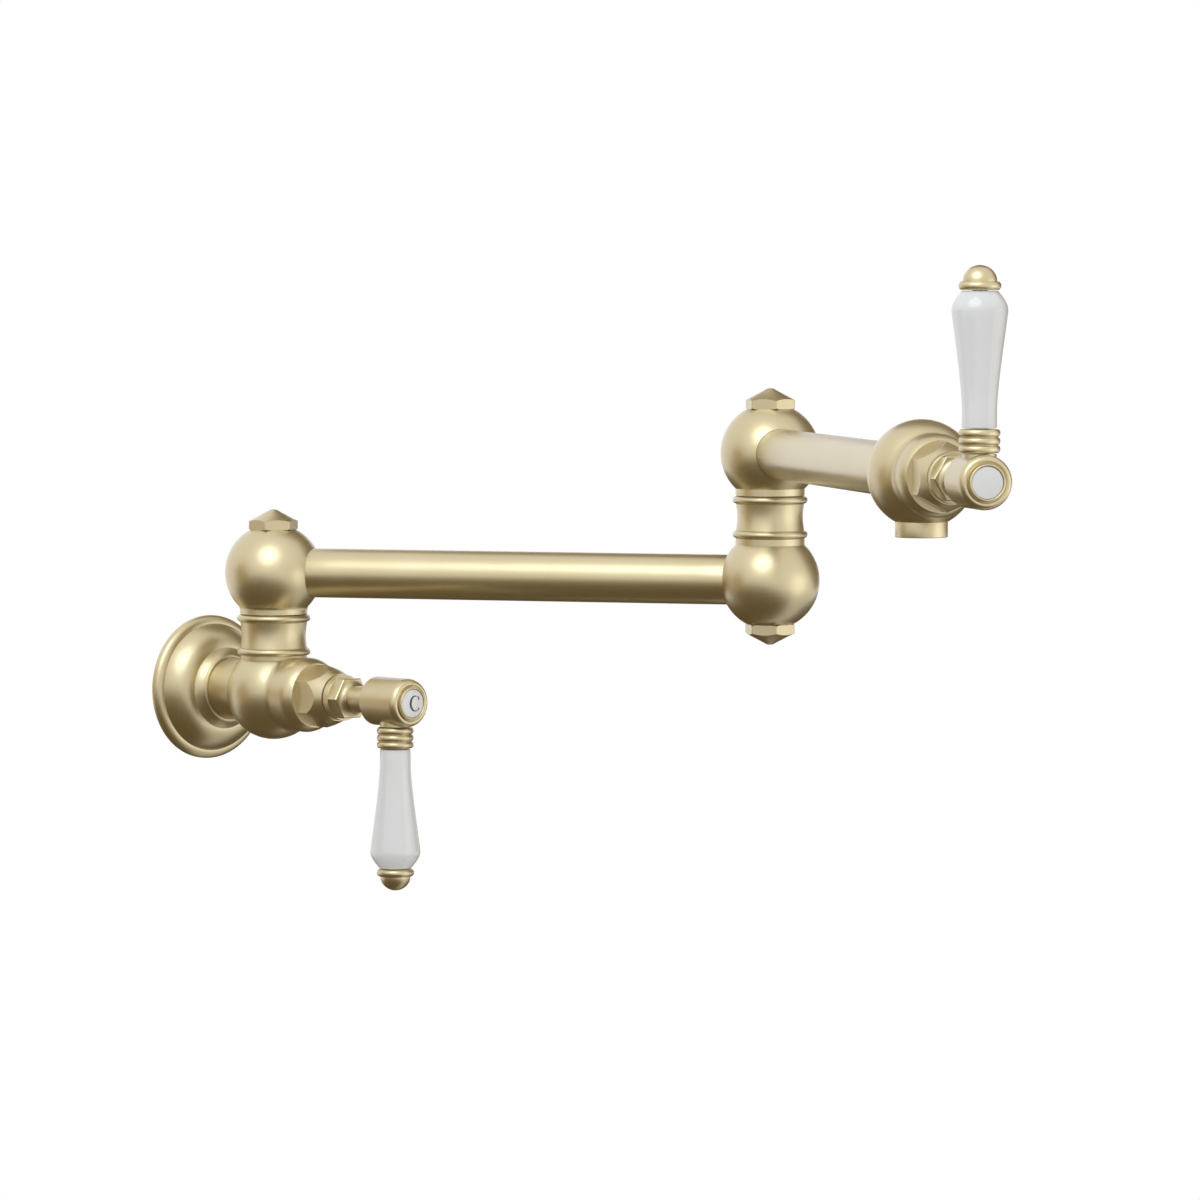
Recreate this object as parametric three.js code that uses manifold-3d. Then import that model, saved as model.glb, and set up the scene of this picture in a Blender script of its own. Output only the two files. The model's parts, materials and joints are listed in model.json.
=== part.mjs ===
// Wall mounted pot filler: a stop valve at the wall, two arms that swing on hollow posts, and a second
// valve over the outlet. Millimetres. +Z is up, the wall is the plane y = 0 and the object stands out
// from it along -Y. The origin is the centre of the wall flange's back face.
import * as THREE from 'three';
import { mergeVertices } from 'three/addons/utils/BufferGeometryUtils.js';
import Module from 'manifold-3d';

const wasm = await Module();
wasm.setup();

// ---------------------------------------------------------------- driving dimensions
// Fits
const FIT = 0.3; // radial gap round a piece in its bore
const SEAM = 0.3; // gap between two end faces
const SEAL_GAP = 0.2; // gap left between an O-ring and its bore

// Layout of the arms
const WALL_TO_SWIVEL = 47.0; // wall to the axis of the lower swivel
const INNER_REACH = 230.8; // swivel axis to elbow axis
const OUTER_REACH = 247.9; // elbow axis to outlet axis
const INNER_SWING = 30.4; // inner arm from straight out, in degrees
const ELBOW_SWING = -61.1; // outer arm from the inner one, in degrees

// Swivel posts, which carry the arms and the water
const POST_R = 9.5; // lower journal
const POST_STEP = 3.0; // from the lower journal in to the tip journal
const POST_WALL = 2.2; // wall of the tip journal
const POST_THREAD_STEP = 1.7; // from the tip journal in to its thread
const POST_NUT = 3.0; // height of the nut
const POST_LEDGE = 2.0; // shoulder round the tip bearing, under the nut
const POST_END = 0.6; // thread showing past the nut
const POST_FLOOR = 1.5; // metal between a post's foot and the waterway below it
const POST_PORT_R = 3.4; // cross holes
const POST_CAP = 1.5; // metal over the cross holes
const ORING_T = 1.6; // thickness of an O-ring in its groove
const NECK_WALL = 5.4; // wall of a ball's neck round the post
const NECK_RISE = 3.1; // straight neck past the ball
const VALVE_NECK_RISE = 1.7;
const VALVE_NECK_STEP = 0.3; // how much slimmer the wall valve's neck is
const WASHER_T = 1.2;
const WASHER_LAND = 1.5; // neck left outside the washer's recess

// Sleeves round the swivels, with a bead at each end
const SLEEVE_LENGTH = 18.2;
const SLEEVE_END = 0.2; // from the neck in to the foot of a bead
const SLEEVE_WAIST = 0.6; // how far the middle is drawn in
const BEAD_HEIGHT = 3.1;
const BEAD_PROUD = 1.6;

// Balls
const CHAMBER_R = 8.0; // waterway across an arm's ball
const CHAMBER_ROOF = 0.5; // room over it, round the post
const BEARING = 3.5; // length of the tip bearing
const SOCKET_WALL = 3.2; // metal between the post's bore and the end of an arm tube
const VALVE_BALL_STEP = 0.6; // how much smaller the wall valve's ball is

// Hexagonal caps on the balls
const CAP_PLUG = 3.0; // threaded length
const CAP_CLEAR = 0.4; // room over the post's end
const CAP_LAND = 1.3; // flat land on the ball round the plug
const CAP_LIP = 1.25; // flats past the plug
const CAP_EDGE = 0.5; // chamfer under the corners
const CAP_FLANK = 3.7; // height of the hexagon at its corners
const CAP_CONE = 4.7;
const CAP_TIP = 0.6;
const CAP_TIP_R = 2.2;

// Arm tubes
const TUBE_R = 11.0;
const TUBE_WALL = 1.5;

// Wall flange, its gasket and its grub screw
const FLANGE_R = 32.6;
const FLANGE_RIM = 1.3; // straight edge of the rim
const ROLL_HEIGHT = 3.0; // rounded part of the rim
const ROLL_WIDTH = 3.7;
const FLANGE_DEPTH = 17.4; // wall to the lip
const FLANGE_BORE = 12.0; // length of the bore on the shank
const LIP_WIDTH = 1.1; // bevelled lip round the shank
const LIP_FALL = 0.8;
const COVE_WIDTH = 3.0; // from the lip out to the dish
const COVE_FALL = 3.3;
const DISH_CROWN = 4.6; // how far the dish stays level past the cove
const DISH_RISE = 5.4; // how steeply it leaves the rim
const DISH_LEAN = 2.1;
const CAVITY_LAND = 2.0; // from the cove out to the roof's edge inside
const GASKET_T = 1.0;
const GASKET_WIDTH = 2.4;
const GASKET_LAND = 1.8; // brass between the gasket and the rim's edge
const GRUB_R = 2.0;
const GRUB_LENGTH = 5.0;
const GRUB_DEPTH = 9.8; // wall to the grub screw
const GRUB_KEY_R = 1.15;
const GRUB_KEY_DEPTH = 1.8;

// Inlet shank
const SHANK_R = 14.0;
const SHANK_SETBACK = 3.0; // wall to the end of the shank
const INLET_R = 9.3; // female thread for the supply nipple
const INLET_DEPTH = 14.0;
const WATERWAY_R = 6.0;
const PORT_R = 5.5; // way out of a valve's body

// Valve cartridge and its ceramic discs
const CARTRIDGE_R = 8.7;
const CARTRIDGE_SKIRT = 0.8; // wall round the discs
const CARTRIDGE_WEB = 0.8; // metal past the windows
const CARTRIDGE_NECK_R = 7.0;
const HEAD_LIP = 1.2; // head past the barrel
const HEAD_T = 3.0;
const WINDOW_WIDTH = 9.0;
const WINDOW_LENGTH = 6.0;
const SEAT_SEAL_T = 1.8;
const SEAT_SEAL_BORE_R = 4.2;
const DISC_T = 2.1;
const DISC_PORT_R = 1.8;
const DISC_PORT_PITCH = 4.6; // valve axis to the middle of a port
const DISC_SETBACK = 2.6; // ball centre back to the top of the discs
const KEY_WIDTH = 4.0; // blade that turns the moving disc
const KEY_LENGTH = 13.0;
const KEY_HEIGHT = 3.1;
const KEY_SINK = 0.8; // blade in the disc's slot

// Valve boss and bonnet nut
const BOSS_SINK = 0.2; // boss face inside the ball's radius
const BOSS_LEDGE = 3.6; // boss past the spigot
const BOSS_FILLET = 5.0;
const SPIGOT_WALL = 3.5;
const SPIGOT_LENGTH = 6.3;
const BAND_PROUD = 0.6; // edge of the bonnet's band past the boss
const BAND_RIM = 1.2; // straight part behind that edge
const BAND_RISE = 2.3; // how far the band keeps that line
const BAND_SPREAD = 1.5; // how it leans in towards the flats
const BAND_FALL = 1.75;
const BAND_WALL = 1.3; // band past the end of the spigot
const BONNET_WALL = 1.85; // wall under the flats
const BONNET_CROWN = 0.4; // barrel past the corners of the flats
const BONNET_BARREL = 5.0;
const DOME_LENGTH = 10.7;
const DOME_SWELL = 1.8; // how far the dome keeps the barrel's line
const DOME_NOSE = 4.6; // how far the nose keeps the dome's slope
const DOME_NOSE_FLARE = 2.1;
const NOSE_LIP = 0.4; // nose past the gland nut's ring

// Gland nut
const GLAND_STUB = 5.9; // thread in the bonnet's nose
const GLAND_RING = 3.4; // round ring behind the flats
const GLAND_RING_LIP = 0.1; // ring past the corners of the flats
const GLAND_WALL = 2.5; // wall under the flats
const GLAND_HEX = 5.2;
const GLAND_CHAMFER = 0.4; // round the front of the hexagon
const GLAND_NOSE = 2.6;
const GLAND_NOSE_WALL = 0.4;

// Stem and hub
const STEM_R = 3.9;
const STEM_NECK_STEP = 2.0; // from the stem out to its neck
const STEM_NECK = 14.1; // neck between the gland nut and the hub
const HUB_R = 10.7;
const HUB_LENGTH = 19.6; // straight part
const HUB_ROLL = 3.4; // length of the rounded front edge
const HUB_ROLL_WIDTH = 2.1;
const HUB_FACE_STEP = 0.6; // groove between the rounded edge and the index
const HUB_WEB = 14.8; // back of the hub to the floor of the screw's pocket
const LEVER_SET = 12.0; // back of the hub to the lever's axis
const POCKET_STEP = 1.9; // from the index recess in to the screw's pocket
const SCREW_HEAD = 3.0;
const SCREW_R = 2.0;
const SCREW_LENGTH = 10.0;
const SCREW_ROOM = 2.0; // hole past the end of the screw
const INDEX_R = 6.3;
const INDEX_DEPTH = 5.0;
const INDEX_CROWN = 0.5;
const INDEX_RING_WALL = 0.7;
const INDEX_RING_PROUD = 0.4;

// Lever
const STUB_R = 6.7;
const ROD_R = 3.0;
const ROD_SINK = 3.1; // rod in the hub
const ROD_THREAD = 5.3; // rod in the finial
const COLLAR_BEADS = 3;
const COLLAR_PITCH = 3.1;
const COLLAR_GROOVE_R = 7.1;
const COLLAR_PROUD = 1.0;
const GRIP_NECK = 6.6; // straight part of the grip
const GRIP_NECK_R = 6.76;
const GRIP_SWELL = 38.7; // from the neck to the belly
const GRIP_BELLY_R = 10.95;
const GRIP_TURN = 7.4; // from the belly to the end
const GRIP_END_R = 7.0;
const GRIP_SWELL_START = 10.3; // how far the neck's line is kept
const GRIP_SWELL_END = 2.4; // how far the belly's line is kept
const GRIP_TURN_START = 2.7;
const GRIP_TURN_END = 2.3;
const GRIP_TURN_SPREAD = 1.9;
const FINIAL_BEAD = 3.3;
const FINIAL_BEAD_R = 8.25;
const FINIAL_FOOT_R = 6.9;
const FINIAL_DOME = 6.3;
const FINIAL_DOME_R = 6.65;

// Outlet
const OUTLET_R = 10.55;
const OUTLET_DROP = 6.4; // collar below the ball
const OUTLET_LAND = 0.4; // flat on the ball round the collar
const OUTLET_BORE_R = 7.8;
const OUTLET_THREAD_WALL = 0.9; // threaded stub round the bore
const OUTLET_THREAD = 5.0;
const OUTLET_ROOF = 1.0; // ledge over the straightener
const OUTLET_ROOF_WIDTH = 1.0;
const STRAIGHTENER_T = 2.4;
const STRAIGHTENER_HOLE_R = 1.3;
const STRAIGHTENER_PITCH = 4.4;
const STRAIGHTENER_HOLES = 6;

// Facets round a turned piece
const ROUND = 18;
const SLIM = 12;
const HEXAGON = 6;

// ---------------------------------------------------------------- sizes that follow
const chord = (ballR, r) => Math.sqrt(ballR ** 2 - r ** 2);
const cornerOf = (flatR) => flatR / Math.cos(Math.PI / HEXAGON);

const postBore = POST_R + FIT;
const neckR = postBore + NECK_WALL;
const valveNeckR = neckR - VALVE_NECK_STEP;
const tipR = POST_R - POST_STEP;
const tipBore = tipR + FIT;
const counterR = tipBore + POST_LEDGE;
const postHole = tipR - POST_WALL;
const postThreadR = tipR - POST_THREAD_STEP;
const plugR = counterR - FIT;
const capSeatR = counterR + CAP_LAND;
const capFlatR = plugR + CAP_LIP;
const chamberTop = CHAMBER_R + CHAMBER_ROOF;
const ledgeZ = chamberTop + BEARING;
const postNutZ = ledgeZ + SEAM;
const postTop = postNutZ + POST_NUT + POST_END;
const tubeEnd = postBore + SOCKET_WALL; // ball centre to the end of a tube's socket
const socketR = TUBE_R + FIT;
const ballR = Math.hypot(postTop + CAP_CLEAR + CAP_PLUG, capSeatR);
const capSeatZ = chord(ballR, capSeatR);
const valveBallR = ballR - VALVE_BALL_STEP;
const neckTop = chord(ballR, neckR) + NECK_RISE;
const elbowRise = neckTop + SLEEVE_LENGTH + SEAM + neckTop;

const flangeBore = SHANK_R + FIT;
const lipR = flangeBore + LIP_WIDTH;
const dishR = lipR + COVE_WIDTH;
const rebateR = FLANGE_R - GASKET_LAND;
const gasketR = rebateR - FIT;
const cavityR = gasketR - GASKET_WIDTH;

const cartridgeBore = CARTRIDGE_R + FIT;
const skirtR = CARTRIDGE_R - CARTRIDGE_SKIRT;
const discR = skirtR - FIT;
const discTop = -DISC_SETBACK;
const fixedDiscTop = discTop - DISC_T - SEAM;
const skirtT = fixedDiscTop - DISC_T;
const seatSealTop = skirtT - SEAM;
const seatT = seatSealTop - SEAT_SEAL_T - SEAM;
const keyT = discTop - KEY_SINK;
const windowT = discTop + SEAM;
const bossT = ballR - BOSS_SINK;
const spigotR = cartridgeBore + SPIGOT_WALL;
const bossR = spigotR + BOSS_LEDGE;
const valveNeckTop = Math.max(chord(valveBallR, valveNeckR) + VALVE_NECK_RISE, bossR + SEAM);
const lowerRise = valveNeckTop + SLEEVE_LENGTH + SEAM + neckTop;
const spigotT = bossT + SPIGOT_LENGTH;
const headR = CARTRIDGE_R + HEAD_LIP;
const headT = spigotT + SEAM;
const headTop = headT + HEAD_T;
const bonnetT = bossT + SEAM;
const bonnetFlatR = headR + FIT + BONNET_WALL;
const barrelR = cornerOf(bonnetFlatR) + BONNET_CROWN;
const noseBore = CARTRIDGE_NECK_R + FIT;
const bonnetFlatsT = headT + BAND_WALL;
const domeT = bonnetFlatsT + BONNET_BARREL;
const bonnetTop = domeT + DOME_LENGTH;
const stemBore = STEM_R + FIT;
const stemNeckR = STEM_R + STEM_NECK_STEP;
const pocketR = stemNeckR + FIT;
const glandFlatR = pocketR + GLAND_WALL;
const glandRingR = cornerOf(glandFlatR) + GLAND_RING_LIP;
const noseR = glandRingR + NOSE_LIP;
const glandT = bonnetTop + SEAM;
const glandFlatsT = glandT + GLAND_RING;
const glandFace = glandFlatsT + GLAND_HEX;
const glandTop = glandFace + GLAND_NOSE;
const glandStubT = glandT - GLAND_STUB;
const glandSealT = glandFlatsT + SEAM;
const stemNeckT = glandSealT + ORING_T + SEAM;
const hubT = glandTop + STEM_NECK;
const hubRollT = hubT + HUB_LENGTH;
const screwFloorT = hubT + HUB_WEB;
const leverT = hubT + LEVER_SET;
const indexRingR = INDEX_R + FIT + INDEX_RING_WALL;
const indexRecessR = indexRingR + FIT;
const screwPocketR = indexRecessR - POCKET_STEP;
const screwHeadT = screwFloorT + SEAM;
const indexFloorT = screwHeadT + SCREW_HEAD + SEAM;
const indexT = indexFloorT + SEAM;

const rodBore = ROD_R + FIT;
const collarL = HUB_R + SEAM;
const collarLength = COLLAR_BEADS * COLLAR_PITCH;
const gripL = collarL + collarLength + SEAM;
const gripLength = GRIP_NECK + GRIP_SWELL + GRIP_TURN;
const finialL = gripL + gripLength + SEAM;

const outletSeatZ = chord(ballR, OUTLET_R + OUTLET_LAND);
const outletThreadR = OUTLET_BORE_R + OUTLET_THREAD_WALL;
const outletStubZ = outletSeatZ - OUTLET_THREAD;
const straightenerR = OUTLET_BORE_R - FIT;

// ---------------------------------------------------------------- geometry helpers
// A closed surface as a solid, with shared corners merged and collapsed triangles left out.
function solid(geometry) {
  const bare = geometry.clone();
  bare.deleteAttribute('normal');
  bare.deleteAttribute('uv');
  const merged = mergeVertices(bare, 1e-4);
  const corners = merged.index.array;
  const triangles = [];
  for (let i = 0; i < corners.length; i += 3) {
    const [a, b, c] = corners.slice(i, i + 3);
    if (a !== b && b !== c && c !== a) triangles.push(a, b, c);
  }
  return new wasm.Manifold(new wasm.Mesh({
    numProp: 3,
    vertProperties: Float32Array.from(merged.attributes.position.array),
    triVerts: Uint32Array.from(triangles),
  }));
}

function surface(body) {
  const mesh = body.getMesh();
  const geometry = new THREE.BufferGeometry();
  geometry.setAttribute('position', new THREE.BufferAttribute(mesh.vertProperties, 3));
  geometry.setIndex(new THREE.BufferAttribute(mesh.triVerts, 1));
  return geometry;
}

const join = (stock, ...more) => surface(more.reduce((sum, piece) => sum.add(solid(piece)), solid(stock)));
const cut = (stock, ...tools) => surface(tools.reduce((rest, tool) => rest.subtract(solid(tool)), solid(stock)));
const trim = (stock, form) => surface(solid(stock).intersect(solid(form)));

// Turns an outline of [radius, height] points round +Z. It starts and ends on the axis, or it is a loop.
function turned(outline, segments = ROUND) {
  const points = outline.map(([r, z]) => new THREE.Vector2(r, z));
  if (THREE.ShapeUtils.area(points) < 0) points.reverse();
  if (points[0].x > 0) points.push(points[0].clone());
  return new THREE.LatheGeometry(points, segments).rotateX(Math.PI / 2);
}

const bar = (r, from, to, segments = ROUND) => turned([[0, from], [r, from], [r, to], [0, to]], segments);

const ring = (inner, outer, from, to, segments = ROUND) =>
  turned([[inner, from], [outer, from], [outer, to], [inner, to]], segments);

// A hexagonal bar along +Z. Its corners lie on the Y axis, or turned, its flats do.
const hexagon = (flatR, from, to, turn = 0) => bar(cornerOf(flatR), from, to, HEXAGON).rotateZ(turn);
const FLATS_ON_Y = Math.PI / HEXAGON;

// Stock from +Z laid along -Y, stood along +Y, turned over, or laid along +X.
const outward = (geometry) => geometry.rotateX(Math.PI / 2);
const upward = (geometry) => geometry.rotateX(-Math.PI / 2);
const flipped = (geometry) => geometry.rotateX(Math.PI);
const sideways = (geometry) => geometry.rotateY(Math.PI / 2);

// Points of an oval arc round [r, z], with angles in degrees from the radial direction.
function arc(r, z, width, height, from, to, steps) {
  return Array.from({ length: steps + 1 }, (_, i) => {
    const angle = THREE.MathUtils.degToRad(from + ((to - from) * i) / steps);
    return [r + width * Math.cos(angle), z + height * Math.sin(angle)];
  });
}

function curve(start, leave, arrive, end, steps) {
  const [a, b, c, d] = [start, leave, arrive, end].map(([r, z]) => new THREE.Vector2(r, z));
  return new THREE.CubicBezierCurve(a, b, c, d).getPoints(steps).map((point) => [point.x, point.y]);
}

// The ball's skin from one point on it to another, each given as [radius, height].
function skin(R, from, to, steps) {
  const [start, end] = [from, to].map(([r, z]) => THREE.MathUtils.radToDeg(Math.atan2(z, r)));
  return arc(0, 0, R, R, start, end, steps);
}

// ---------------------------------------------------------------- assembly helpers
const FINISHES = {
  brass: { color: 0xc8b68a, roughness: 0.38, metalness: 1.0 },
  plainBrass: { color: 0xb59a5b, roughness: 0.45, metalness: 1.0 },
  porcelain: { color: 0xe8e8e6, roughness: 0.12, metalness: 0.0 },
  ceramic: { color: 0xd9d4c8, roughness: 0.25, metalness: 0.0 },
  rubber: { color: 0x242424, roughness: 0.8, metalness: 0.0 },
  acetal: { color: 0xe9e7df, roughness: 0.5, metalness: 0.0 },
  steel: { color: 0xa9abad, roughness: 0.35, metalness: 1.0 },
};

function add(parent, name, finish, geometry) {
  const mesh = new THREE.Mesh(surface(solid(geometry)), new THREE.MeshStandardMaterial(FINISHES[finish]));
  mesh.name = name;
  parent.add(mesh);
}

function frame(parent, position, turnX = 0, turnZ = 0) {
  const group = new THREE.Group();
  group.position.set(...position);
  group.rotation.set(turnX, 0, turnZ);
  parent.add(group);
  return group;
}

// ---------------------------------------------------------------- balls
// Waterway and tube socket, from the ball's centre out along +Z.
const tubeSocket = () => turned([
  [0, 0],
  [CHAMBER_R, 0],
  [CHAMBER_R, tubeEnd],
  [socketR, tubeEnd],
  [socketR, 2 * ballR],
  [0, 2 * ballR],
]);

// The ball on top of a post: neck and washer recess below, chamber, tip bearing, and the cap's counterbore.
function headBall() {
  const recessR = neckR - WASHER_LAND;
  const recessTop = WASHER_T - neckTop;
  return cut(turned([
    [recessR, -neckTop],
    [neckR, -neckTop],
    ...skin(ballR, [neckR, -chord(ballR, neckR)], [capSeatR, capSeatZ], 5),
    [counterR, capSeatZ],
    [counterR, ledgeZ],
    [tipBore, ledgeZ],
    [tipBore, chamberTop],
    [postBore, chamberTop],
    [postBore, recessTop],
    [recessR, recessTop],
  ]), outward(tubeSocket()));
}

// The ball under the elbow: socket for the post above, cap below, and the inner arm's tube at the back.
function footBall() {
  return cut(turned([
    [postBore, neckTop],
    [neckR, neckTop],
    ...skin(ballR, [neckR, chord(ballR, neckR)], [capSeatR, -capSeatZ], 5),
    [counterR, -capSeatZ],
    [counterR, CAP_PLUG + CAP_CLEAR - capSeatZ],
    [PORT_R, CAP_PLUG + CAP_CLEAR - capSeatZ],
    [PORT_R, CHAMBER_R + POST_FLOOR],
    [postBore, CHAMBER_R + POST_FLOOR],
  ]), upward(tubeSocket()));
}

// Hexagonal cap on a ball's land, with a low cone and a small blunt tip.
function cap(turn) {
  const cornerR = cornerOf(capFlatR);
  const coneTop = CAP_FLANK + CAP_CONE;
  return trim(turned([
    [0, -CAP_PLUG],
    [plugR, -CAP_PLUG],
    [plugR, 0],
    [cornerR - CAP_EDGE, 0],
    [cornerR, CAP_EDGE],
    [cornerR, CAP_FLANK],
    [CAP_TIP_R, coneTop],
    [0, coneTop + CAP_TIP],
  ]), hexagon(capFlatR, -2 * CAP_PLUG, 2 * coneTop, turn));
}

// ---------------------------------------------------------------- swivels
// Sleeve with a rounded bead at each end. z = 0 is its lower face.
function sleeve() {
  const footR = neckR - SLEEVE_END;
  const half = BEAD_HEIGHT / 2;
  const bead = arc(footR, half, BEAD_PROUD, half, -90, 90, 3);
  const mirrored = bead.map(([r, z]) => [r, SLEEVE_LENGTH - z]).reverse();
  return turned([
    [postBore, 0],
    ...bead,
    [footR - SLEEVE_WAIST, SLEEVE_LENGTH / 2],
    ...mirrored,
    [postBore, SLEEVE_LENGTH],
  ]);
}

// Post, sleeve, seals, washer and nut of one swivel. z = 0 is the centre of the upper ball.
function swivel(parent, prefix, footZ) {
  const sleeveTop = -neckTop - SEAM;
  const ringR = postBore - SEAL_GAP;
  const ringZ = (WASHER_T - neckTop - chamberTop) / 2;
  const grooveR = ringR - ORING_T - FIT;
  const [grooveFoot, grooveTop] = [ringZ - ORING_T / 2 - SEAM, ringZ + ORING_T / 2 + SEAM];
  const holeTop = POST_PORT_R + POST_CAP;
  const crossHole = () => bar(POST_PORT_R, -POST_R, POST_R, HEXAGON);

  add(parent, `${prefix}_sleeve`, 'brass', sleeve().translate(0, 0, sleeveTop - SLEEVE_LENGTH));
  add(parent, `${prefix}_post`, 'plainBrass', cut(
    turned([
      [0, holeTop],
      [postHole, holeTop],
      [postHole, footZ],
      [POST_R, footZ],
      [POST_R, grooveFoot],
      [grooveR, grooveFoot],
      [grooveR, grooveTop],
      [POST_R, grooveTop],
      [POST_R, -chamberTop],
      [tipR, -chamberTop],
      [tipR, postNutZ],
      [postThreadR, postNutZ],
      [postThreadR, postTop],
      [0, postTop],
    ], SLIM),
    crossHole().rotateX(Math.PI / 2),
    crossHole().rotateY(Math.PI / 2),
  ));
  add(parent, `${prefix}_oring`, 'rubber',
    ring(ringR - ORING_T, ringR, ringZ - ORING_T / 2, ringZ + ORING_T / 2, SLIM));
  add(parent, `${prefix}_washer`, 'acetal',
    ring(postBore, neckR - WASHER_LAND - FIT, sleeveTop, sleeveTop + WASHER_T, SLIM));
  add(parent, `${prefix}_post_nut`, 'plainBrass', cut(
    bar(counterR - FIT, postNutZ, postNutZ + POST_NUT, HEXAGON),
    bar(postThreadR + FIT, 0, 2 * postTop, SLIM),
  ));
}

// ---------------------------------------------------------------- valves
// Along a valve's axis, +Z runs out of the ball's centre towards the lever and +Y is up.
// The rounded start of a boss: a fillet from the ball's skin to the boss.
function bossOutline(R) {
  const middleR = bossR + BOSS_FILLET;
  const middleT = chord(R + BOSS_FILLET, middleR);
  const lean = THREE.MathUtils.radToDeg(Math.atan2(middleT, middleR));
  return {
    onSkin: [middleR, middleT],
    fillet: arc(middleR, middleT, BOSS_FILLET, BOSS_FILLET, 180 + lean, 180, 2),
  };
}

// Front half of a valve body: boss, threaded spigot, cartridge bore and seat, up to the waterway.
const valveFront = () => [
  [bossR, bossT],
  [spigotR, bossT],
  [spigotR, spigotT],
  [cartridgeBore, spigotT],
  [cartridgeBore, seatT],
  [WATERWAY_R, seatT],
];

function wallValveBody() {
  const boss = bossOutline(valveBallR);
  const shankT = SHANK_SETBACK - WALL_TO_SWIVEL;
  const postFoot = cartridgeBore + POST_FLOOR;
  const body = turned([
    [INLET_R, shankT],
    [SHANK_R, shankT],
    ...skin(valveBallR, [SHANK_R, -chord(valveBallR, SHANK_R)], boss.onSkin, 4),
    ...boss.fillet.slice(1),
    ...valveFront(),
    [WATERWAY_R, shankT + INLET_DEPTH],
    [INLET_R, shankT + INLET_DEPTH],
  ]);
  const wayUp = turned([
    [0, 0],
    [PORT_R, 0],
    [PORT_R, postFoot],
    [postBore, postFoot],
    [postBore, valveNeckTop],
    [2 * ballR, valveNeckTop],
    [2 * ballR, 3 * ballR],
    [0, 3 * ballR],
  ]);
  return cut(join(body, upward(bar(valveNeckR, postFoot, valveNeckTop))), upward(wayUp));
}

function spoutBody() {
  const boss = bossOutline(ballR);
  const body = turned([
    [socketR, -tubeEnd],
    ...skin(ballR, [socketR, -chord(ballR, socketR)], boss.onSkin, 5),
    ...boss.fillet.slice(1),
    ...valveFront(),
    [WATERWAY_R, -tubeEnd],
  ]);
  const wayDown = turned([
    [0, 0],
    [PORT_R, 0],
    [PORT_R, outletStubZ - SEAM],
    [outletThreadR + FIT, outletStubZ - SEAM],
    [outletThreadR + FIT, outletSeatZ],
    [ballR, outletSeatZ],
    [ballR, 2 * ballR],
    [0, 2 * ballR],
  ]);
  return cut(body, outward(wayDown));
}

// Bonnet nut: a turned dome behind a swelling band, with six flats milled into it up to the band.
function bonnet() {
  const crestR = bossR + BAND_PROUD;
  const rimT = bonnetT + BAND_RIM;
  const blank = turned([
    [0, bonnetT],
    [crestR, bonnetT],
    ...curve(
      [crestR, rimT],
      [crestR, rimT + BAND_RISE],
      [barrelR + BAND_SPREAD, bonnetFlatsT - BAND_FALL],
      [barrelR, bonnetFlatsT],
      2,
    ),
    ...curve(
      [barrelR, domeT],
      [barrelR, domeT + DOME_SWELL],
      [noseR + DOME_NOSE_FLARE, bonnetTop - DOME_NOSE],
      [noseR, bonnetTop],
      3,
    ),
    [0, bonnetTop],
  ]);
  const milled = join(
    bar(2 * crestR, 0, bonnetFlatsT, HEXAGON),
    hexagon(bonnetFlatR, 0, 2 * bonnetTop),
  );
  const bores = turned([
    [0, 0],
    [spigotR + FIT, 0],
    [spigotR + FIT, headT],
    [headR + FIT, headT],
    [headR + FIT, headTop + SEAM],
    [noseBore, headTop + SEAM],
    [noseBore, 2 * bonnetTop],
    [0, 2 * bonnetTop],
  ]);
  return cut(trim(blank, milled), bores);
}

// Gland nut: a thread in the bonnet's nose, a round ring, a small bevelled hexagon and a tapered end.
function glandNut() {
  const faceR = glandFlatR - GLAND_CHAMFER;
  const blank = turned([
    [0, glandStubT],
    [CARTRIDGE_NECK_R, glandStubT],
    [CARTRIDGE_NECK_R, glandT],
    [glandRingR, glandT],
    [glandRingR, glandFace],
    [faceR, glandFace],
    [pocketR + GLAND_NOSE_WALL, glandTop],
    [0, glandTop],
  ]);
  const bevelled = turned([
    [0, 0],
    [cornerOf(glandFlatR), 0],
    [cornerOf(glandFlatR), glandFace - GLAND_CHAMFER],
    [cornerOf(faceR), glandFace],
    [cornerOf(faceR), 2 * glandTop],
    [0, 2 * glandTop],
  ], HEXAGON);
  const milled = join(bar(2 * glandRingR, 0, glandFlatsT, HEXAGON), bevelled.rotateZ(FLATS_ON_Y));
  const bores = turned([
    [0, 0],
    [stemBore, 0],
    [stemBore, glandFlatsT],
    [pocketR, glandFlatsT],
    [pocketR, 2 * glandTop],
    [0, 2 * glandTop],
  ], SLIM);
  return cut(trim(blank, milled), bores);
}

// Barrel that holds the discs, with two windows over them and a head between the spigot and the bonnet.
function cartridge() {
  const windowTop = windowT + WINDOW_LENGTH;
  const web = windowTop + CARTRIDGE_WEB;
  const barrel = turned([
    [skirtR, skirtT],
    [CARTRIDGE_R, skirtT],
    [CARTRIDGE_R, headT],
    [headR, headT],
    [headR, headTop],
    [CARTRIDGE_NECK_R, headTop],
    [CARTRIDGE_NECK_R, glandStubT - SEAM],
    [stemBore, glandStubT - SEAM],
    [stemBore, web],
    [skirtR, web],
  ], SLIM);
  const windows = new THREE.BoxGeometry(WINDOW_WIDTH, 4 * CARTRIDGE_R, WINDOW_LENGTH);
  return cut(barrel, windows.translate(0, 0, (windowT + windowTop) / 2));
}

// A ceramic disc with two ports. The stem's blade sits in the slot of the one that turns.
function disc(top) {
  const port = (side) => bar(DISC_PORT_R, top - 2 * DISC_T, top + DISC_T, HEXAGON)
    .translate(side * DISC_PORT_PITCH, 0, 0);
  return cut(bar(discR, top - DISC_T, top, SLIM), port(1), port(-1));
}

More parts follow.
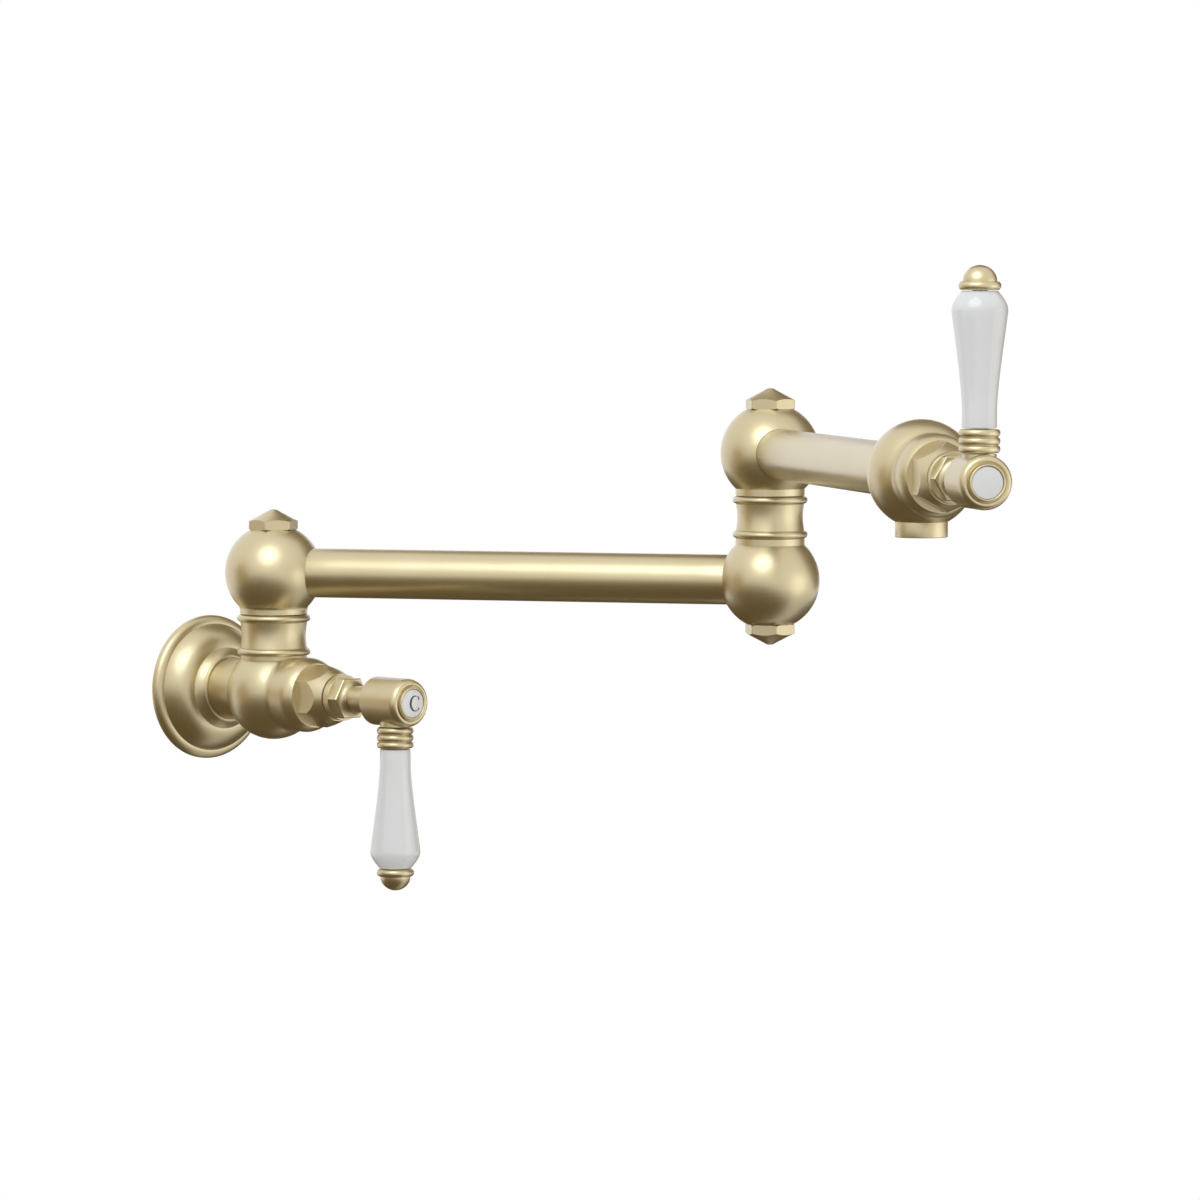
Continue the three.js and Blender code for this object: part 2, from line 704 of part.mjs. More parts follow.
function movingDisc() {
  const slot = new THREE.BoxGeometry(4 * discR, KEY_WIDTH + 2 * FIT, 2 * (KEY_SINK + SEAM));
  return cut(disc(discTop).rotateZ(Math.PI / 2), slot.translate(0, 0, discTop));
}

function stem() {
  const screwEnd = screwHeadT - SCREW_LENGTH;
  const shaft = turned([
    [0, keyT + KEY_HEIGHT / 2],
    [STEM_R, keyT + KEY_HEIGHT / 2],
    [STEM_R, stemNeckT],
    [stemNeckR, stemNeckT],
    [stemNeckR, hubT - SEAM],
    [STEM_R, hubT - SEAM],
    [STEM_R, screwFloorT],
    [SCREW_R + FIT, screwFloorT],
    [SCREW_R + FIT, screwEnd - SCREW_ROOM],
    [0, screwEnd - SCREW_ROOM],
  ], SLIM);
  const blade = new THREE.BoxGeometry(KEY_LENGTH, KEY_WIDTH, KEY_HEIGHT);
  return join(shaft, blade.translate(0, 0, keyT + KEY_HEIGHT / 2));
}

// Hub: a drum with a rounded front edge, the stub that carries the lever, and pockets for screw and index.
function hub() {
  const face = hubRollT + HUB_ROLL;
  const drum = turned([
    [stemBore, hubT],
    [HUB_R, hubT],
    ...arc(HUB_R - HUB_ROLL_WIDTH, hubRollT, HUB_ROLL_WIDTH, HUB_ROLL, 0, 90, 2),
    [indexRecessR, face - HUB_FACE_STEP],
    [indexRecessR, indexFloorT],
    [screwPocketR, indexFloorT],
    [screwPocketR, screwFloorT],
    [stemBore, screwFloorT],
  ]);
  const atLever = (geometry) => outward(geometry).translate(0, 0, leverT);
  return cut(
    join(drum, atLever(bar(STUB_R, indexRecessR, HUB_R, SLIM))),
    turned([[0, screwFloorT], [screwPocketR, screwFloorT], [screwPocketR, indexFloorT], [0, indexFloorT]]),
    atLever(bar(rodBore, HUB_R - ROD_SINK - SEAM, 2 * HUB_R, SLIM)),
  );
}

function handleScrew() {
  return turned([
    [0, -SCREW_LENGTH],
    [SCREW_R, -SCREW_LENGTH],
    [SCREW_R, 0],
    [screwPocketR - FIT, 0],
    [screwPocketR - FIT, SCREW_HEAD],
    [0, SCREW_HEAD],
  ], SLIM).translate(0, 0, screwHeadT);
}

function indexRing() {
  return ring(INDEX_R + FIT, indexRingR, indexT, indexT + INDEX_DEPTH + INDEX_RING_PROUD, SLIM);
}

// Porcelain button, slightly crowned.
function indexButton() {
  const rim = indexT + INDEX_DEPTH;
  return turned([[0, indexT], [INDEX_R, indexT], [INDEX_R, rim], [0, rim + INDEX_CROWN]], SLIM);
}

// ---------------------------------------------------------------- levers
// Lever pieces stand on +Z, which runs from the valve's axis out along the lever.
function leverCollar() {
  const half = COLLAR_PITCH / 2;
  const bead = (i) => arc(COLLAR_GROOVE_R, (2 * i + 1) * half, COLLAR_PROUD, half, -90, 90, 3).slice(i ? 1 : 0);
  return turned([
    [rodBore, 0],
    ...Array.from({ length: COLLAR_BEADS }, (_, i) => bead(i)).flat(),
    [rodBore, collarLength],
  ], SLIM);
}

function leverGrip() {
  const belly = GRIP_NECK + GRIP_SWELL;
  return turned([
    [rodBore, 0],
    [GRIP_NECK_R, 0],
    ...curve(
      [GRIP_NECK_R, GRIP_NECK],
      [GRIP_NECK_R, GRIP_NECK + GRIP_SWELL_START],
      [GRIP_BELLY_R, belly - GRIP_SWELL_END],
      [GRIP_BELLY_R, belly],
      5,
    ),
    ...curve(
      [GRIP_BELLY_R, belly],
      [GRIP_BELLY_R, belly + GRIP_TURN_START],
      [GRIP_END_R + GRIP_TURN_SPREAD, gripLength - GRIP_TURN_END],
      [GRIP_END_R, gripLength],
      3,
    ).slice(1),
    [rodBore, gripLength],
  ], SLIM);
}

function leverFinial() {
  const beadMiddle = FINIAL_BEAD / 2;
  return turned([
    [0, ROD_THREAD + SEAM],
    [rodBore, ROD_THREAD + SEAM],
    [rodBore, 0],
    ...arc(FINIAL_FOOT_R, beadMiddle, FINIAL_BEAD_R - FINIAL_FOOT_R, beadMiddle, -90, 90, 3),
    ...arc(0, FINIAL_BEAD, FINIAL_DOME_R, FINIAL_DOME, 0, 90, 4),
  ], SLIM);
}

function lever(parent, prefix) {
  const axis = frame(parent, [0, 0, leverT], Math.PI / 2);
  add(axis, `${prefix}_lever_collar`, 'brass', leverCollar().translate(0, 0, collarL));
  add(axis, `${prefix}_lever_rod`, 'steel', bar(ROD_R, HUB_R - ROD_SINK, finialL + ROD_THREAD, SLIM));
  add(axis, `${prefix}_lever_grip`, 'porcelain', leverGrip().translate(0, 0, gripL));
  add(axis, `${prefix}_lever_finial`, 'brass', leverFinial().translate(0, 0, finialL));
}

// Everything in and on a valve body. The lever points along -Y, turned by leverTurn round the valve's axis.
function valve(parent, prefix, leverTurn) {
  add(parent, `${prefix}_seat_seal`, 'rubber', ring(SEAT_SEAL_BORE_R, skirtR, seatT + SEAM, seatSealTop, SLIM));
  add(parent, `${prefix}_fixed_disc`, 'ceramic', disc(fixedDiscTop));
  add(parent, `${prefix}_cartridge`, 'plainBrass', cartridge());
  add(parent, `${prefix}_bonnet`, 'brass', bonnet());
  add(parent, `${prefix}_packing_nut`, 'brass', glandNut());
  add(parent, `${prefix}_gland_seal`, 'rubber',
    ring(stemBore, stemNeckR, glandSealT, glandSealT + ORING_T, SLIM));

  const handle = frame(parent, [0, 0, 0], 0, leverTurn);
  add(handle, `${prefix}_moving_disc`, 'ceramic', movingDisc());
  add(handle, `${prefix}_stem`, 'plainBrass', stem());
  add(handle, `${prefix}_hub`, 'brass', hub());
  add(handle, `${prefix}_handle_screw`, 'steel', handleScrew());
  add(handle, `${prefix}_index_ring`, 'brass', indexRing());
  add(handle, `${prefix}_index`, 'porcelain', indexButton());
  lever(handle, prefix);
}

// ---------------------------------------------------------------- wall flange
// The flange's own axis is +Z, from the wall outwards.
function wallFlange() {
  const rollR = FLANGE_R - ROLL_WIDTH;
  const rollTop = FLANGE_RIM + ROLL_HEIGHT;
  const coveTop = FLANGE_DEPTH - LIP_FALL;
  const dishTop = coveTop - COVE_FALL;
  const cavityTop = FLANGE_DEPTH - FLANGE_BORE;
  const body = turned([
    [flangeBore, cavityTop],
    [flangeBore, FLANGE_DEPTH],
    [lipR, coveTop],
    ...curve(
      [dishR, dishTop],
      [dishR + DISH_CROWN, dishTop],
      [rollR - DISH_LEAN, rollTop + DISH_RISE],
      [rollR, rollTop],
      5,
    ),
    ...arc(rollR, FLANGE_RIM, ROLL_WIDTH, ROLL_HEIGHT, 90, 0, 3).slice(1),
    [FLANGE_R, 0],
    [rebateR, 0],
    [rebateR, GASKET_T],
    [cavityR, GASKET_T],
    [cavityR, FLANGE_RIM],
    [dishR + CAVITY_LAND, cavityTop],
  ]);
  const grubHole = sideways(bar(GRUB_R + FIT, SHANK_R, FLANGE_R, SLIM));
  return cut(body, grubHole.translate(0, 0, GRUB_DEPTH));
}

function grubScrew() {
  const end = flangeBore + GRUB_LENGTH;
  const key = bar(GRUB_KEY_R, end - GRUB_KEY_DEPTH, 2 * end, HEXAGON);
  return sideways(cut(bar(GRUB_R, flangeBore, end, SLIM), key)).translate(0, 0, GRUB_DEPTH);
}

// ---------------------------------------------------------------- outlet
// Outlet collar, screwed up into the ball. z = 0 is the ball's centre.
function outlet() {
  const bottom = -outletSeatZ - OUTLET_DROP;
  const roofR = OUTLET_BORE_R - OUTLET_ROOF_WIDTH;
  return turned([
    [roofR, -outletStubZ],
    [outletThreadR, -outletStubZ],
    [outletThreadR, -outletSeatZ],
    [OUTLET_R, -outletSeatZ],
    [OUTLET_R, bottom],
    [OUTLET_BORE_R, bottom],
    [OUTLET_BORE_R, -outletStubZ - OUTLET_ROOF],
    [roofR, -outletStubZ - OUTLET_ROOF],
  ]);
}

// Disc of hexagonal cells that calms the flow.
function flowStraightener() {
  const top = -outletStubZ - OUTLET_ROOF - SEAM;
  const cell = () => bar(STRAIGHTENER_HOLE_R, top - 2 * STRAIGHTENER_T, top + STRAIGHTENER_T, HEXAGON);
  const cells = Array.from({ length: STRAIGHTENER_HOLES }, (_, i) =>
    cell().translate(STRAIGHTENER_PITCH, 0, 0).rotateZ((i * 2 * Math.PI) / STRAIGHTENER_HOLES));
  return cut(bar(straightenerR, top - STRAIGHTENER_T, top), cell(), ...cells);
}

// ---------------------------------------------------------------- the whole object
const potFiller = new THREE.Group();

const wall = frame(potFiller, [0, 0, 0], Math.PI / 2);
add(wall, 'wall_flange', 'brass', wallFlange());
add(wall, 'flange_gasket', 'rubber', ring(cavityR, gasketR, 0, GASKET_T));
add(wall, 'flange_set_screw', 'steel', grubScrew());

const wallValve = frame(potFiller, [0, -WALL_TO_SWIVEL, 0], Math.PI / 2);
add(wallValve, 'valve_body', 'brass', wallValveBody());
valve(wallValve, 'wall', 0);

const wallPost = frame(potFiller, [0, -WALL_TO_SWIVEL, lowerRise]);
swivel(wallPost, 'wall_swivel', cartridgeBore + POST_FLOOR - lowerRise);

// An arm: the ball it turns on, its cap and its tube, which runs out along -Y.
function arm(parent, name, position, swing, reach, capTurn) {
  const group = frame(parent, position, 0, THREE.MathUtils.degToRad(swing));
  add(group, `${name}_ball`, 'brass', headBall());
  add(group, `${name}_ball_cap`, 'brass', cap(capTurn).translate(0, 0, capSeatZ));
  const [start, end] = [tubeEnd + SEAM, reach - tubeEnd - SEAM];
  add(group, `${name}_tube`, 'brass', outward(ring(TUBE_R - TUBE_WALL, TUBE_R, start, end)));
  return group;
}

const innerArm = arm(potFiller, 'inner', [0, -WALL_TO_SWIVEL, lowerRise], INNER_SWING, INNER_REACH, FLATS_ON_Y);
const elbow = frame(innerArm, [0, -INNER_REACH, 0]);
add(elbow, 'elbow_ball', 'brass', footBall());
add(elbow, 'elbow_ball_cap', 'brass', flipped(cap(0)).translate(0, 0, -capSeatZ));
swivel(frame(elbow, [0, 0, elbowRise]), 'elbow_swivel', CHAMBER_R + POST_FLOOR - elbowRise);

const outerArm = arm(innerArm, 'outer', [0, -INNER_REACH, elbowRise], ELBOW_SWING, OUTER_REACH, 0);
const spout = frame(outerArm, [0, -OUTER_REACH, 0]);
add(spout, 'spout_outlet', 'brass', outlet());
add(spout, 'flow_straightener', 'acetal', flowStraightener());

const spoutValve = frame(spout, [0, 0, 0], Math.PI / 2);
add(spoutValve, 'spout_body', 'brass', spoutBody());
valve(spoutValve, 'spout', Math.PI);

export default potFiller;
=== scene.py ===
"""Finished look of a wall mounted pot filler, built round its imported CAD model.

The CAD solids are faceted. Each piece that shows is turned, milled or glazed anew here, at the same place and
size, and rides on the same body. The pieces inside keep their solids and get a finish.
"""

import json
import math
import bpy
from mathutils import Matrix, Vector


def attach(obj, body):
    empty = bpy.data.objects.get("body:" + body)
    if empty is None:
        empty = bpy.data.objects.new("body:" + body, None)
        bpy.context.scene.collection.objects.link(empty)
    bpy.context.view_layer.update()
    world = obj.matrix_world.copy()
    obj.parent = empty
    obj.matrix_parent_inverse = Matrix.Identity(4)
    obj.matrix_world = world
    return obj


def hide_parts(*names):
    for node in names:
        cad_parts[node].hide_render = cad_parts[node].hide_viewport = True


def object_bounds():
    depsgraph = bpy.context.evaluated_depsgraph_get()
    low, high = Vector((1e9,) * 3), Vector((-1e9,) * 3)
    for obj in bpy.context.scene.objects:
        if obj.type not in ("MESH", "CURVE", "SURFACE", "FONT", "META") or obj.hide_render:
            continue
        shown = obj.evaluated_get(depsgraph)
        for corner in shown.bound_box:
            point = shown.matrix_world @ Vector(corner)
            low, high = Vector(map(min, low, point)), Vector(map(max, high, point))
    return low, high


bl_info = {
    "name": "Pot filler finish",
    "version": (1, 0, 0),
    "blender": (4, 5, 0),
    "location": "View3D > Sidebar > Pot filler",
    "description": "Models and finishes the brass and porcelain pieces of a wall mounted pot filler",
    "category": "Object",
}

from types import SimpleNamespace

import bpy
from bpy.props import FloatProperty, FloatVectorProperty, IntProperty, PointerProperty
from mathutils import Matrix, Vector

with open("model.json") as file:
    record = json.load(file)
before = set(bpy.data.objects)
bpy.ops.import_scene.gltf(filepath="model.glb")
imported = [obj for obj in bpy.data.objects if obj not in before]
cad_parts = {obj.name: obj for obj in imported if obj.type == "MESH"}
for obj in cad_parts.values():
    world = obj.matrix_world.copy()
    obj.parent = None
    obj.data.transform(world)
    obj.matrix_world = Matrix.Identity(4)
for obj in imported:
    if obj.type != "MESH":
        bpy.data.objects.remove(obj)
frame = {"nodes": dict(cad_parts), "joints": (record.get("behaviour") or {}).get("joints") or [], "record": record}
CAD_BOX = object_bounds()
MM = 0.001
JOINTS = {joint["name"]: joint for joint in frame["joints"]}


# ---------------------------------------------------------------- stations
# A station is a lathe's axis on the object: its local +Z runs along the axis.
def station(joint_name, along=None, height=None, turn=0.0):
    """Where a joint is. Upright and turned round Z, or with +Z laid along a horizontal direction and +Y up."""
    origin = place_of(joint_name)
    if height is not None:
        origin.z = height
    if along is None:
        return Matrix.Translation(origin) @ Matrix.Rotation(turn, 4, "Z")
    along = Vector(along).normalized()
    up = Vector((0, 0, 1))
    side = up.cross(along)
    axes = Matrix((side, up, along)).transposed().to_4x4()
    return Matrix.Translation(origin) @ axes


def place_of(joint_name):
    return Vector(JOINTS[joint_name]["pos_m"])


SWIVEL_HEIGHT = place_of("wall_swivel").z
INNER_LINE = place_of("elbow_swivel") - place_of("wall_swivel")
OUTER_LINE = place_of("spout_valve_turn") - place_of("elbow_swivel")
INNER_TURN = math.atan2(INNER_LINE.x, -INNER_LINE.y)
OUTER_TURN = math.atan2(OUTER_LINE.x, -OUTER_LINE.y)
INNER_REACH = math.hypot(INNER_LINE.x, INNER_LINE.y) / MM
OUTER_REACH = math.hypot(OUTER_LINE.x, OUTER_LINE.y) / MM

# These lay a piece that was made upright along -Y, along +Y, along +X and upside down.
FORWARD = Matrix.Rotation(math.pi / 2, 4, "X")
BACKWARD = Matrix.Rotation(-math.pi / 2, 4, "X")
SIDEWAYS = Matrix.Rotation(math.pi / 2, 4, "Y")
FLIP = Matrix.Rotation(math.pi, 4, "X")

STATIONS = {
    "wall": FORWARD,
    "wall_valve": station("wall_valve_turn", along=JOINTS["wall_valve_turn"]["axis"]),
    "wall_swivel": station("wall_swivel", height=SWIVEL_HEIGHT, turn=INNER_TURN),
    "elbow_foot": station("elbow_swivel", height=SWIVEL_HEIGHT, turn=INNER_TURN),
    "elbow_head": station("elbow_swivel", turn=OUTER_TURN),
    "inner_tube": station("wall_swivel", along=(INNER_LINE.x, INNER_LINE.y, 0)),
    "outer_tube": station("elbow_swivel", along=(OUTER_LINE.x, OUTER_LINE.y, 0)),
    "spout": station("spout_valve_turn", turn=OUTER_TURN),
    "spout_valve": station("spout_valve_turn", along=JOINTS["spout_valve_turn"]["axis"]),
}


def lifted(height):
    """A move along the axis, in millimetres."""
    return Matrix.Translation((0, 0, height * MM))


# ---------------------------------------------------------------- sizes and colours
def srgb(code):
    """Linear colour of an sRGB hex code."""
    channels = [int(code[i : i + 2], 16) / 255 for i in (1, 3, 5)]
    return tuple(c / 12.92 if c <= 0.04045 else ((c + 0.055) / 1.055) ** 2.4 for c in channels)


def length(name, millimetres, description):
    return FloatProperty(name=name, description=description, default=millimetres * MM, min=0,
                         subtype="DISTANCE", unit="LENGTH", precision=5)


def colour(name, code, description):
    return FloatVectorProperty(name=name, description=description, default=srgb(code), size=3, min=0, max=1,
                               subtype="COLOR")


def share(name, value, description):
    return FloatProperty(name=name, description=description, default=value, min=0, max=1, subtype="FACTOR")


def power(name, watts, description):
    return FloatProperty(name=name, description=description, default=watts, min=0, unit="POWER")


class BallSizes(bpy.types.PropertyGroup):
    ball: length("Ball radius", 21.78, "Radius of the balls on the arms")
    valve_ball: length("Valve ball radius", 21.18, "Radius of the ball at the wall")
    neck: length("Neck radius", 15.2, "Outside of a ball's neck, round the post")
    neck_top: length("Neck height", 18.7, "Ball centre to the end of its neck")
    valve_neck: length("Valve neck radius", 14.9, "Outside of the neck on the ball at the wall")
    valve_neck_top: length("Valve neck height", 16.76, "Centre of the ball at the wall to the end of its neck")
    post_bore: length("Post bore radius", 9.8, "Bore in the balls for the post")
    port: length("Port radius", 5.5, "Waterway between post and valve")
    chamber: length("Chamber radius", 8.0, "Waterway across a ball")
    cap_seat: length("Cap seat", 19.3, "Ball centre to the flat under the cap")
    cap_bore: length("Cap bore radius", 8.8, "Counterbore that takes the cap's thread")
    tube: length("Tube radius", 11.0, "Outside of the arm tubes")
    tube_wall: length("Tube wall", 1.5, "Thickness of the arm tubes")
    socket_end: length("Socket depth", 13.0, "Ball centre to the end of an arm tube")
    socket_gap: length("Socket gap", 0.06, "Gap round a tube, which its thread fills")
    lower_fillet: length("Neck fillet", 2.4, "Hollow between the lower arm's ball and its neck")
    seam: length("Seam", 0.3, "Gap between two pieces that meet")


class CapSizes(bpy.types.PropertyGroup):
    flats: length("Half across flats", 9.75, "Axis to a flat of the hexagonal cap")
    edge: length("Edge", 0.5, "Chamfer under the corners")
    flank: length("Flank", 3.7, "Height of the hexagon at its corners")
    cone: length("Cone", 4.7, "Height of the cone over the hexagon")
    tip: length("Tip radius", 2.2, "Radius where the cone rounds off")


class SleeveSizes(bpy.types.PropertyGroup):
    height: length("Height", 18.2, "Length of the sleeve between two necks")
    foot: length("Foot radius", 15.0, "Where a bead meets the sleeve")
    bead: length("Bead height", 3.1, "Height of the bead at each end")
    proud: length("Bead proud", 1.45, "How far a bead stands out")
    groove: length("Groove", 0.15, "Turned groove beside each bead")
    waist: length("Waist", 0.6, "How far the middle is drawn in")


class FlangeSizes(bpy.types.PropertyGroup):
    radius: length("Radius", 32.6, "Outside of the rim")
    rim: length("Rim", 1.3, "Straight edge of the rim")
    roll_height: length("Roll height", 3.0, "Rounded part of the rim, from the wall out")
    roll_width: length("Roll width", 3.7, "Rounded part of the rim, inwards")
    depth: length("Depth", 17.4, "Wall to the lip")
    lip: length("Lip radius", 15.4, "Outside of the rounded lip round the shank")
    lip_fall: length("Lip fall", 0.8, "How far the lip rounds off")
    dish: length("Dish radius", 18.4, "Edge between the cove and the dish")
    cove_fall: length("Cove fall", 3.3, "Lip to that edge")
    bore: length("Bore radius", 14.06, "Hole that the shank passes")
    bore_length: length("Bore length", 12.0, "Length of that hole")
    grub: length("Grub hole radius", 2.3, "Hole for the set screw, on the right")
    grub_depth: length("Grub depth", 9.8, "Wall to that hole")
    groove_gap: length("Gasket gap", 0.3, "Gap round the gasket in its groove")


class ValveSizes(bpy.types.PropertyGroup):
    shank: length("Shank radius", 14.0, "Inlet shank between flange and ball")
    shank_end: length("Shank length", 44.0, "Ball centre to the end of the shank")
    inlet: length("Inlet radius", 9.3, "Threaded mouth of the shank")
    inlet_depth: length("Inlet depth", 14.0, "Length of that thread")
    waterway: length("Waterway radius", 6.0, "Bore through the shank")
    boss: length("Boss radius", 16.1, "Turned face that carries the bonnet")
    boss_face: length("Boss face", 21.58, "Ball centre to that face")
    fillet: length("Fillet", 5.0, "Hollow between ball and boss")
    cartridge: length("Cartridge bore radius", 9.0, "Bore in the ball for the cartridge")
    seat: length("Cartridge seat", 8.3, "Ball centre back to the end of that bore")
    spigot: length("Spigot radius", 12.5, "Thread inside the bonnet")
    spigot_end: length("Spigot end", 27.88, "Ball centre to the end of that thread")
    band: length("Band", 0.6, "How far the bonnet's band stands out past the boss")
    band_rim: length("Band rim", 1.2, "Straight part behind the band's edge")
    flats: length("Half across flats", 12.05, "Valve axis to a flat of the bonnet")
    barrel: length("Barrel radius", 14.31, "Bonnet past the corners of its flats")
    flats_start: length("Flats start", 29.48, "Ball centre to the step behind the flats")
    dome_start: length("Dome start", 34.48, "Ball centre to the start of the dome")
    dome_end: length("Dome end", 45.18, "Ball centre to the bonnet's nose")
    nose: length("Nose radius", 10.55, "End of the dome")
    head: length("Head bore radius", 10.2, "Bonnet's bore for the cartridge's head")
    head_start: length("Head bore start", 28.18, "Ball centre to the start of that bore")
    head_end: length("Head bore end", 31.5, "Ball centre to the end of that bore")
    gland_bore: length("Gland bore radius", 7.3, "Bonnet's thread for the packing nut")
    gland_plug: length("Gland plug radius", 7.0, "Packing nut in that thread")
    gland_plug_length: length("Gland plug length", 5.9, "Length of that thread")
    stem_hole: length("Stem hole radius", 4.2, "Hole for the stem in packing nut and hub")
    ring: length("Gland ring radius", 10.15, "Round ring of the packing nut")
    ring_length: length("Gland ring length", 3.4, "Length of that ring")
    hexagon: length("Gland half across flats", 8.7, "Valve axis to a flat of the packing nut")
    hexagon_length: length("Gland hexagon length", 5.2, "Length of that hexagon")
    hexagon_edge: length("Gland hexagon edge", 0.4, "Bevel round the front of that hexagon")
    gland_nose: length("Gland nose", 2.6, "Tapered end of the packing nut")
    stem: length("Stem radius", 5.9, "Neck of the stem between packing nut and hub")


class HubSizes(bpy.types.PropertyGroup):
    core: length("Stem core radius", 3.9, "Stem in the cartridge, the packing nut and the hub")
    core_start: length("Stem core start", 4.95, "Ball centre back to the end of the stem")
    neck_start: length("Stem neck start", 51.0, "Ball centre to the start of the stem's neck")
    core_depth: length("Stem core depth", 14.8, "How far the stem reaches into the hub")
    pocket: length("Pocket", 18.4, "Back of the hub to the floor under the index")
    screw_wall: length("Screw wall", 1.9, "Width of that floor, round the screw")
    back: length("Back", 70.78, "Ball centre to the back of the hub")
    radius: length("Radius", 10.7, "Drum of the hub")
    straight: length("Straight part", 19.6, "Length of the drum before its rounded edge")
    roll: length("Rounded edge length", 3.4, "Rounded front edge, along the axis")
    roll_width: length("Rounded edge width", 2.1, "Rounded front edge, inwards")
    groove: length("Groove depth", 0.45, "Step between the rounded edge and the index")
    index: length("Index radius", 6.3, "Porcelain button")
    index_depth: length("Index thickness", 5.0, "Thickness of the porcelain button")
    crown: length("Index crown", 0.5, "How far the button is domed")
    ring_wall: length("Index ring wall", 0.8, "Brass ring round the button")
    ring_gap: length("Index ring gap", 0.08, "Gap inside and outside of that ring")
    ring_proud: length("Index ring proud", 0.4, "How far that ring stands past the button's rim")
    lever: length("Lever set", 12.0, "Back of the hub to the lever's axis")
    stub: length("Stub radius", 6.7, "Stub that carries the lever")


class LeverSizes(bpy.types.PropertyGroup):
    rod_bore: length("Rod bore radius", 3.3, "Hole through the lever's pieces")
    pitch: length("Collar pitch", 3.1, "Height of one bead of the collar")
    groove: length("Collar groove radius", 7.1, "Bottom of the grooves between the beads")
    proud: length("Collar bead proud", 1.0, "How far a bead stands out")
    beads: IntProperty(name="Collar beads", description="Beads on the collar", default=3, min=1, max=8)
    neck: length("Grip neck radius", 6.76, "Porcelain grip at the collar")
    neck_length: length("Grip neck length", 6.6, "Straight start of the grip")
    belly: length("Grip belly radius", 10.95, "Widest part of the grip")
    swell: length("Grip swell", 38.7, "Length from the neck to the belly")
    turn: length("Grip turn", 7.4, "Length from the belly to the end")
    end: length("Grip end radius", 7.0, "Grip where it meets the finial")
    bead: length("Finial bead", 3.3, "Height of the finial's bead")
    bead_radius: length("Finial bead radius", 8.25, "Outside of that bead")
    dome: length("Finial dome", 6.3, "Height of the dome on it")
    dome_radius: length("Finial dome radius", 6.65, "Foot of that dome")


class OutletSizes(bpy.types.PropertyGroup):
    radius: length("Radius", 10.55, "Outside of the collar")
    drop: length("Drop", 6.4, "Collar below its seat on the ball")
    seat: length("Seat", 18.83, "Ball centre to the seat")
    bore: length("Bore radius", 7.8, "Mouth of the outlet")
    thread: length("Thread", 5.0, "Stub that screws up into the ball")
    hole: length("Cell radius", 1.3, "Cells of the flow straightener")
    cell_pitch: length("Cell pitch", 4.4, "Axis to the middle of a cell")
    plate: length("Straightener thickness", 2.4, "Thickness of the disc of cells")


class Finishes(bpy.types.PropertyGroup):
    brass: colour("Satin brass", "#D4C69F", "Champagne brass as brushed")
    brass_deep: colour("Satin brass, deeper", "#CBBA8E", "Champagne brass in its warmer patches")
    brass_roughness: share("Brass roughness", 0.4, "How far the brushing spreads a reflection")
    lacquer: share("Lacquer", 1.0, "Clear lacquer over the brass")
    raw_brass: colour("Raw brass", "#B8994F", "Unplated brass inside")
    glaze: colour("Glaze", "#EDEAE7", "White glaze of grips and indexes")
    glaze_thin: colour("Glaze, thin", "#E6E4E0", "The same glaze where it ran thin")
    letter: colour("Letter", "#24242A", "Fired ink of the letter on the cold index")


class StageSettings(bpy.types.PropertyGroup):
    floor: colour("Floor", "#ECECEA", "Floor under the object")
    drop: length("Floor drop", 1000, "Floor below the origin")
    # The flag colour is painted shade: the glow of cards that only the brass's reflections see.
    flag: colour("Flag", "#6A5B41", "What the brass sees below it, in the shade")
    key: power("Key lamp", 8.5, "Power of the soft lamp over the left shoulder")
    side: power("Side lamp", 2.5, "Power of the low lamp on the right")
    ambient: share("Ambient", 0.6, "Light of the room on matt surfaces")


GROUPS = {
    "balls": BallSizes,
    "caps": CapSizes,
    "sleeves": SleeveSizes,
    "flange": FlangeSizes,
    "valves": ValveSizes,
    "hubs": HubSizes,
    "levers": LeverSizes,
    "outlet": OutletSizes,
    "finishes": Finishes,
    "stage": StageSettings,
}


def settings(group):
    return getattr(bpy.context.scene, f"pot_filler_{group}")


def sizes(group):
    """One group's lengths in millimetres, and its counts as they are."""
    values = settings(group)
    return SimpleNamespace(**{
        key: getattr(values, key) if isinstance(getattr(values, key), int) else getattr(values, key) / MM
        for key in GROUPS[group].__annotations__
    })


# ---------------------------------------------------------------- outlines, in millimetres
def arc(r, z, width, height, start, end, steps=10):
    """Points of an oval arc round (r, z), with angles in degrees from the radial direction."""
    angles = [math.radians(start + (end - start) * i / steps) for i in range(steps + 1)]
    return [(r + width * math.cos(a), z + height * math.sin(a)) for a in angles]


def curve(a, b, c, d, steps=20):
    """Points of a cubic curve from a to d, which leaves towards b and arrives from c."""
    points = []
    for i in range(steps + 1):
        t = i / steps
        weights = ((1 - t) ** 3, 3 * t * (1 - t) ** 2, 3 * t * t * (1 - t), t ** 3)
        points.append(tuple(sum(w * p[k] for w, p in zip(weights, (a, b, c, d))) for k in (0, 1)))
    return points


def to_corner(flats):
    """Radius of a hexagon's corners, from that of its flats."""
    return flats / math.cos(math.pi / 6)


def chord(ball, radius):
    """Height on a ball where it is as wide as the radius."""
    return math.sqrt(ball ** 2 - radius ** 2)


def skin(ball, start, end, steps=36):
    """The ball's skin between two of its points."""
    angles = [math.degrees(math.atan2(z, r)) for r, z in (start, end)]
    return arc(0, 0, ball, ball, *angles, steps)


# ---------------------------------------------------------------- modelling
def only(piece):
    """Makes one piece the only one selected, and the active one."""
    bpy.ops.object.select_all(action="DESELECT")
    piece.select_set(True)
    bpy.context.view_layer.objects.active = piece


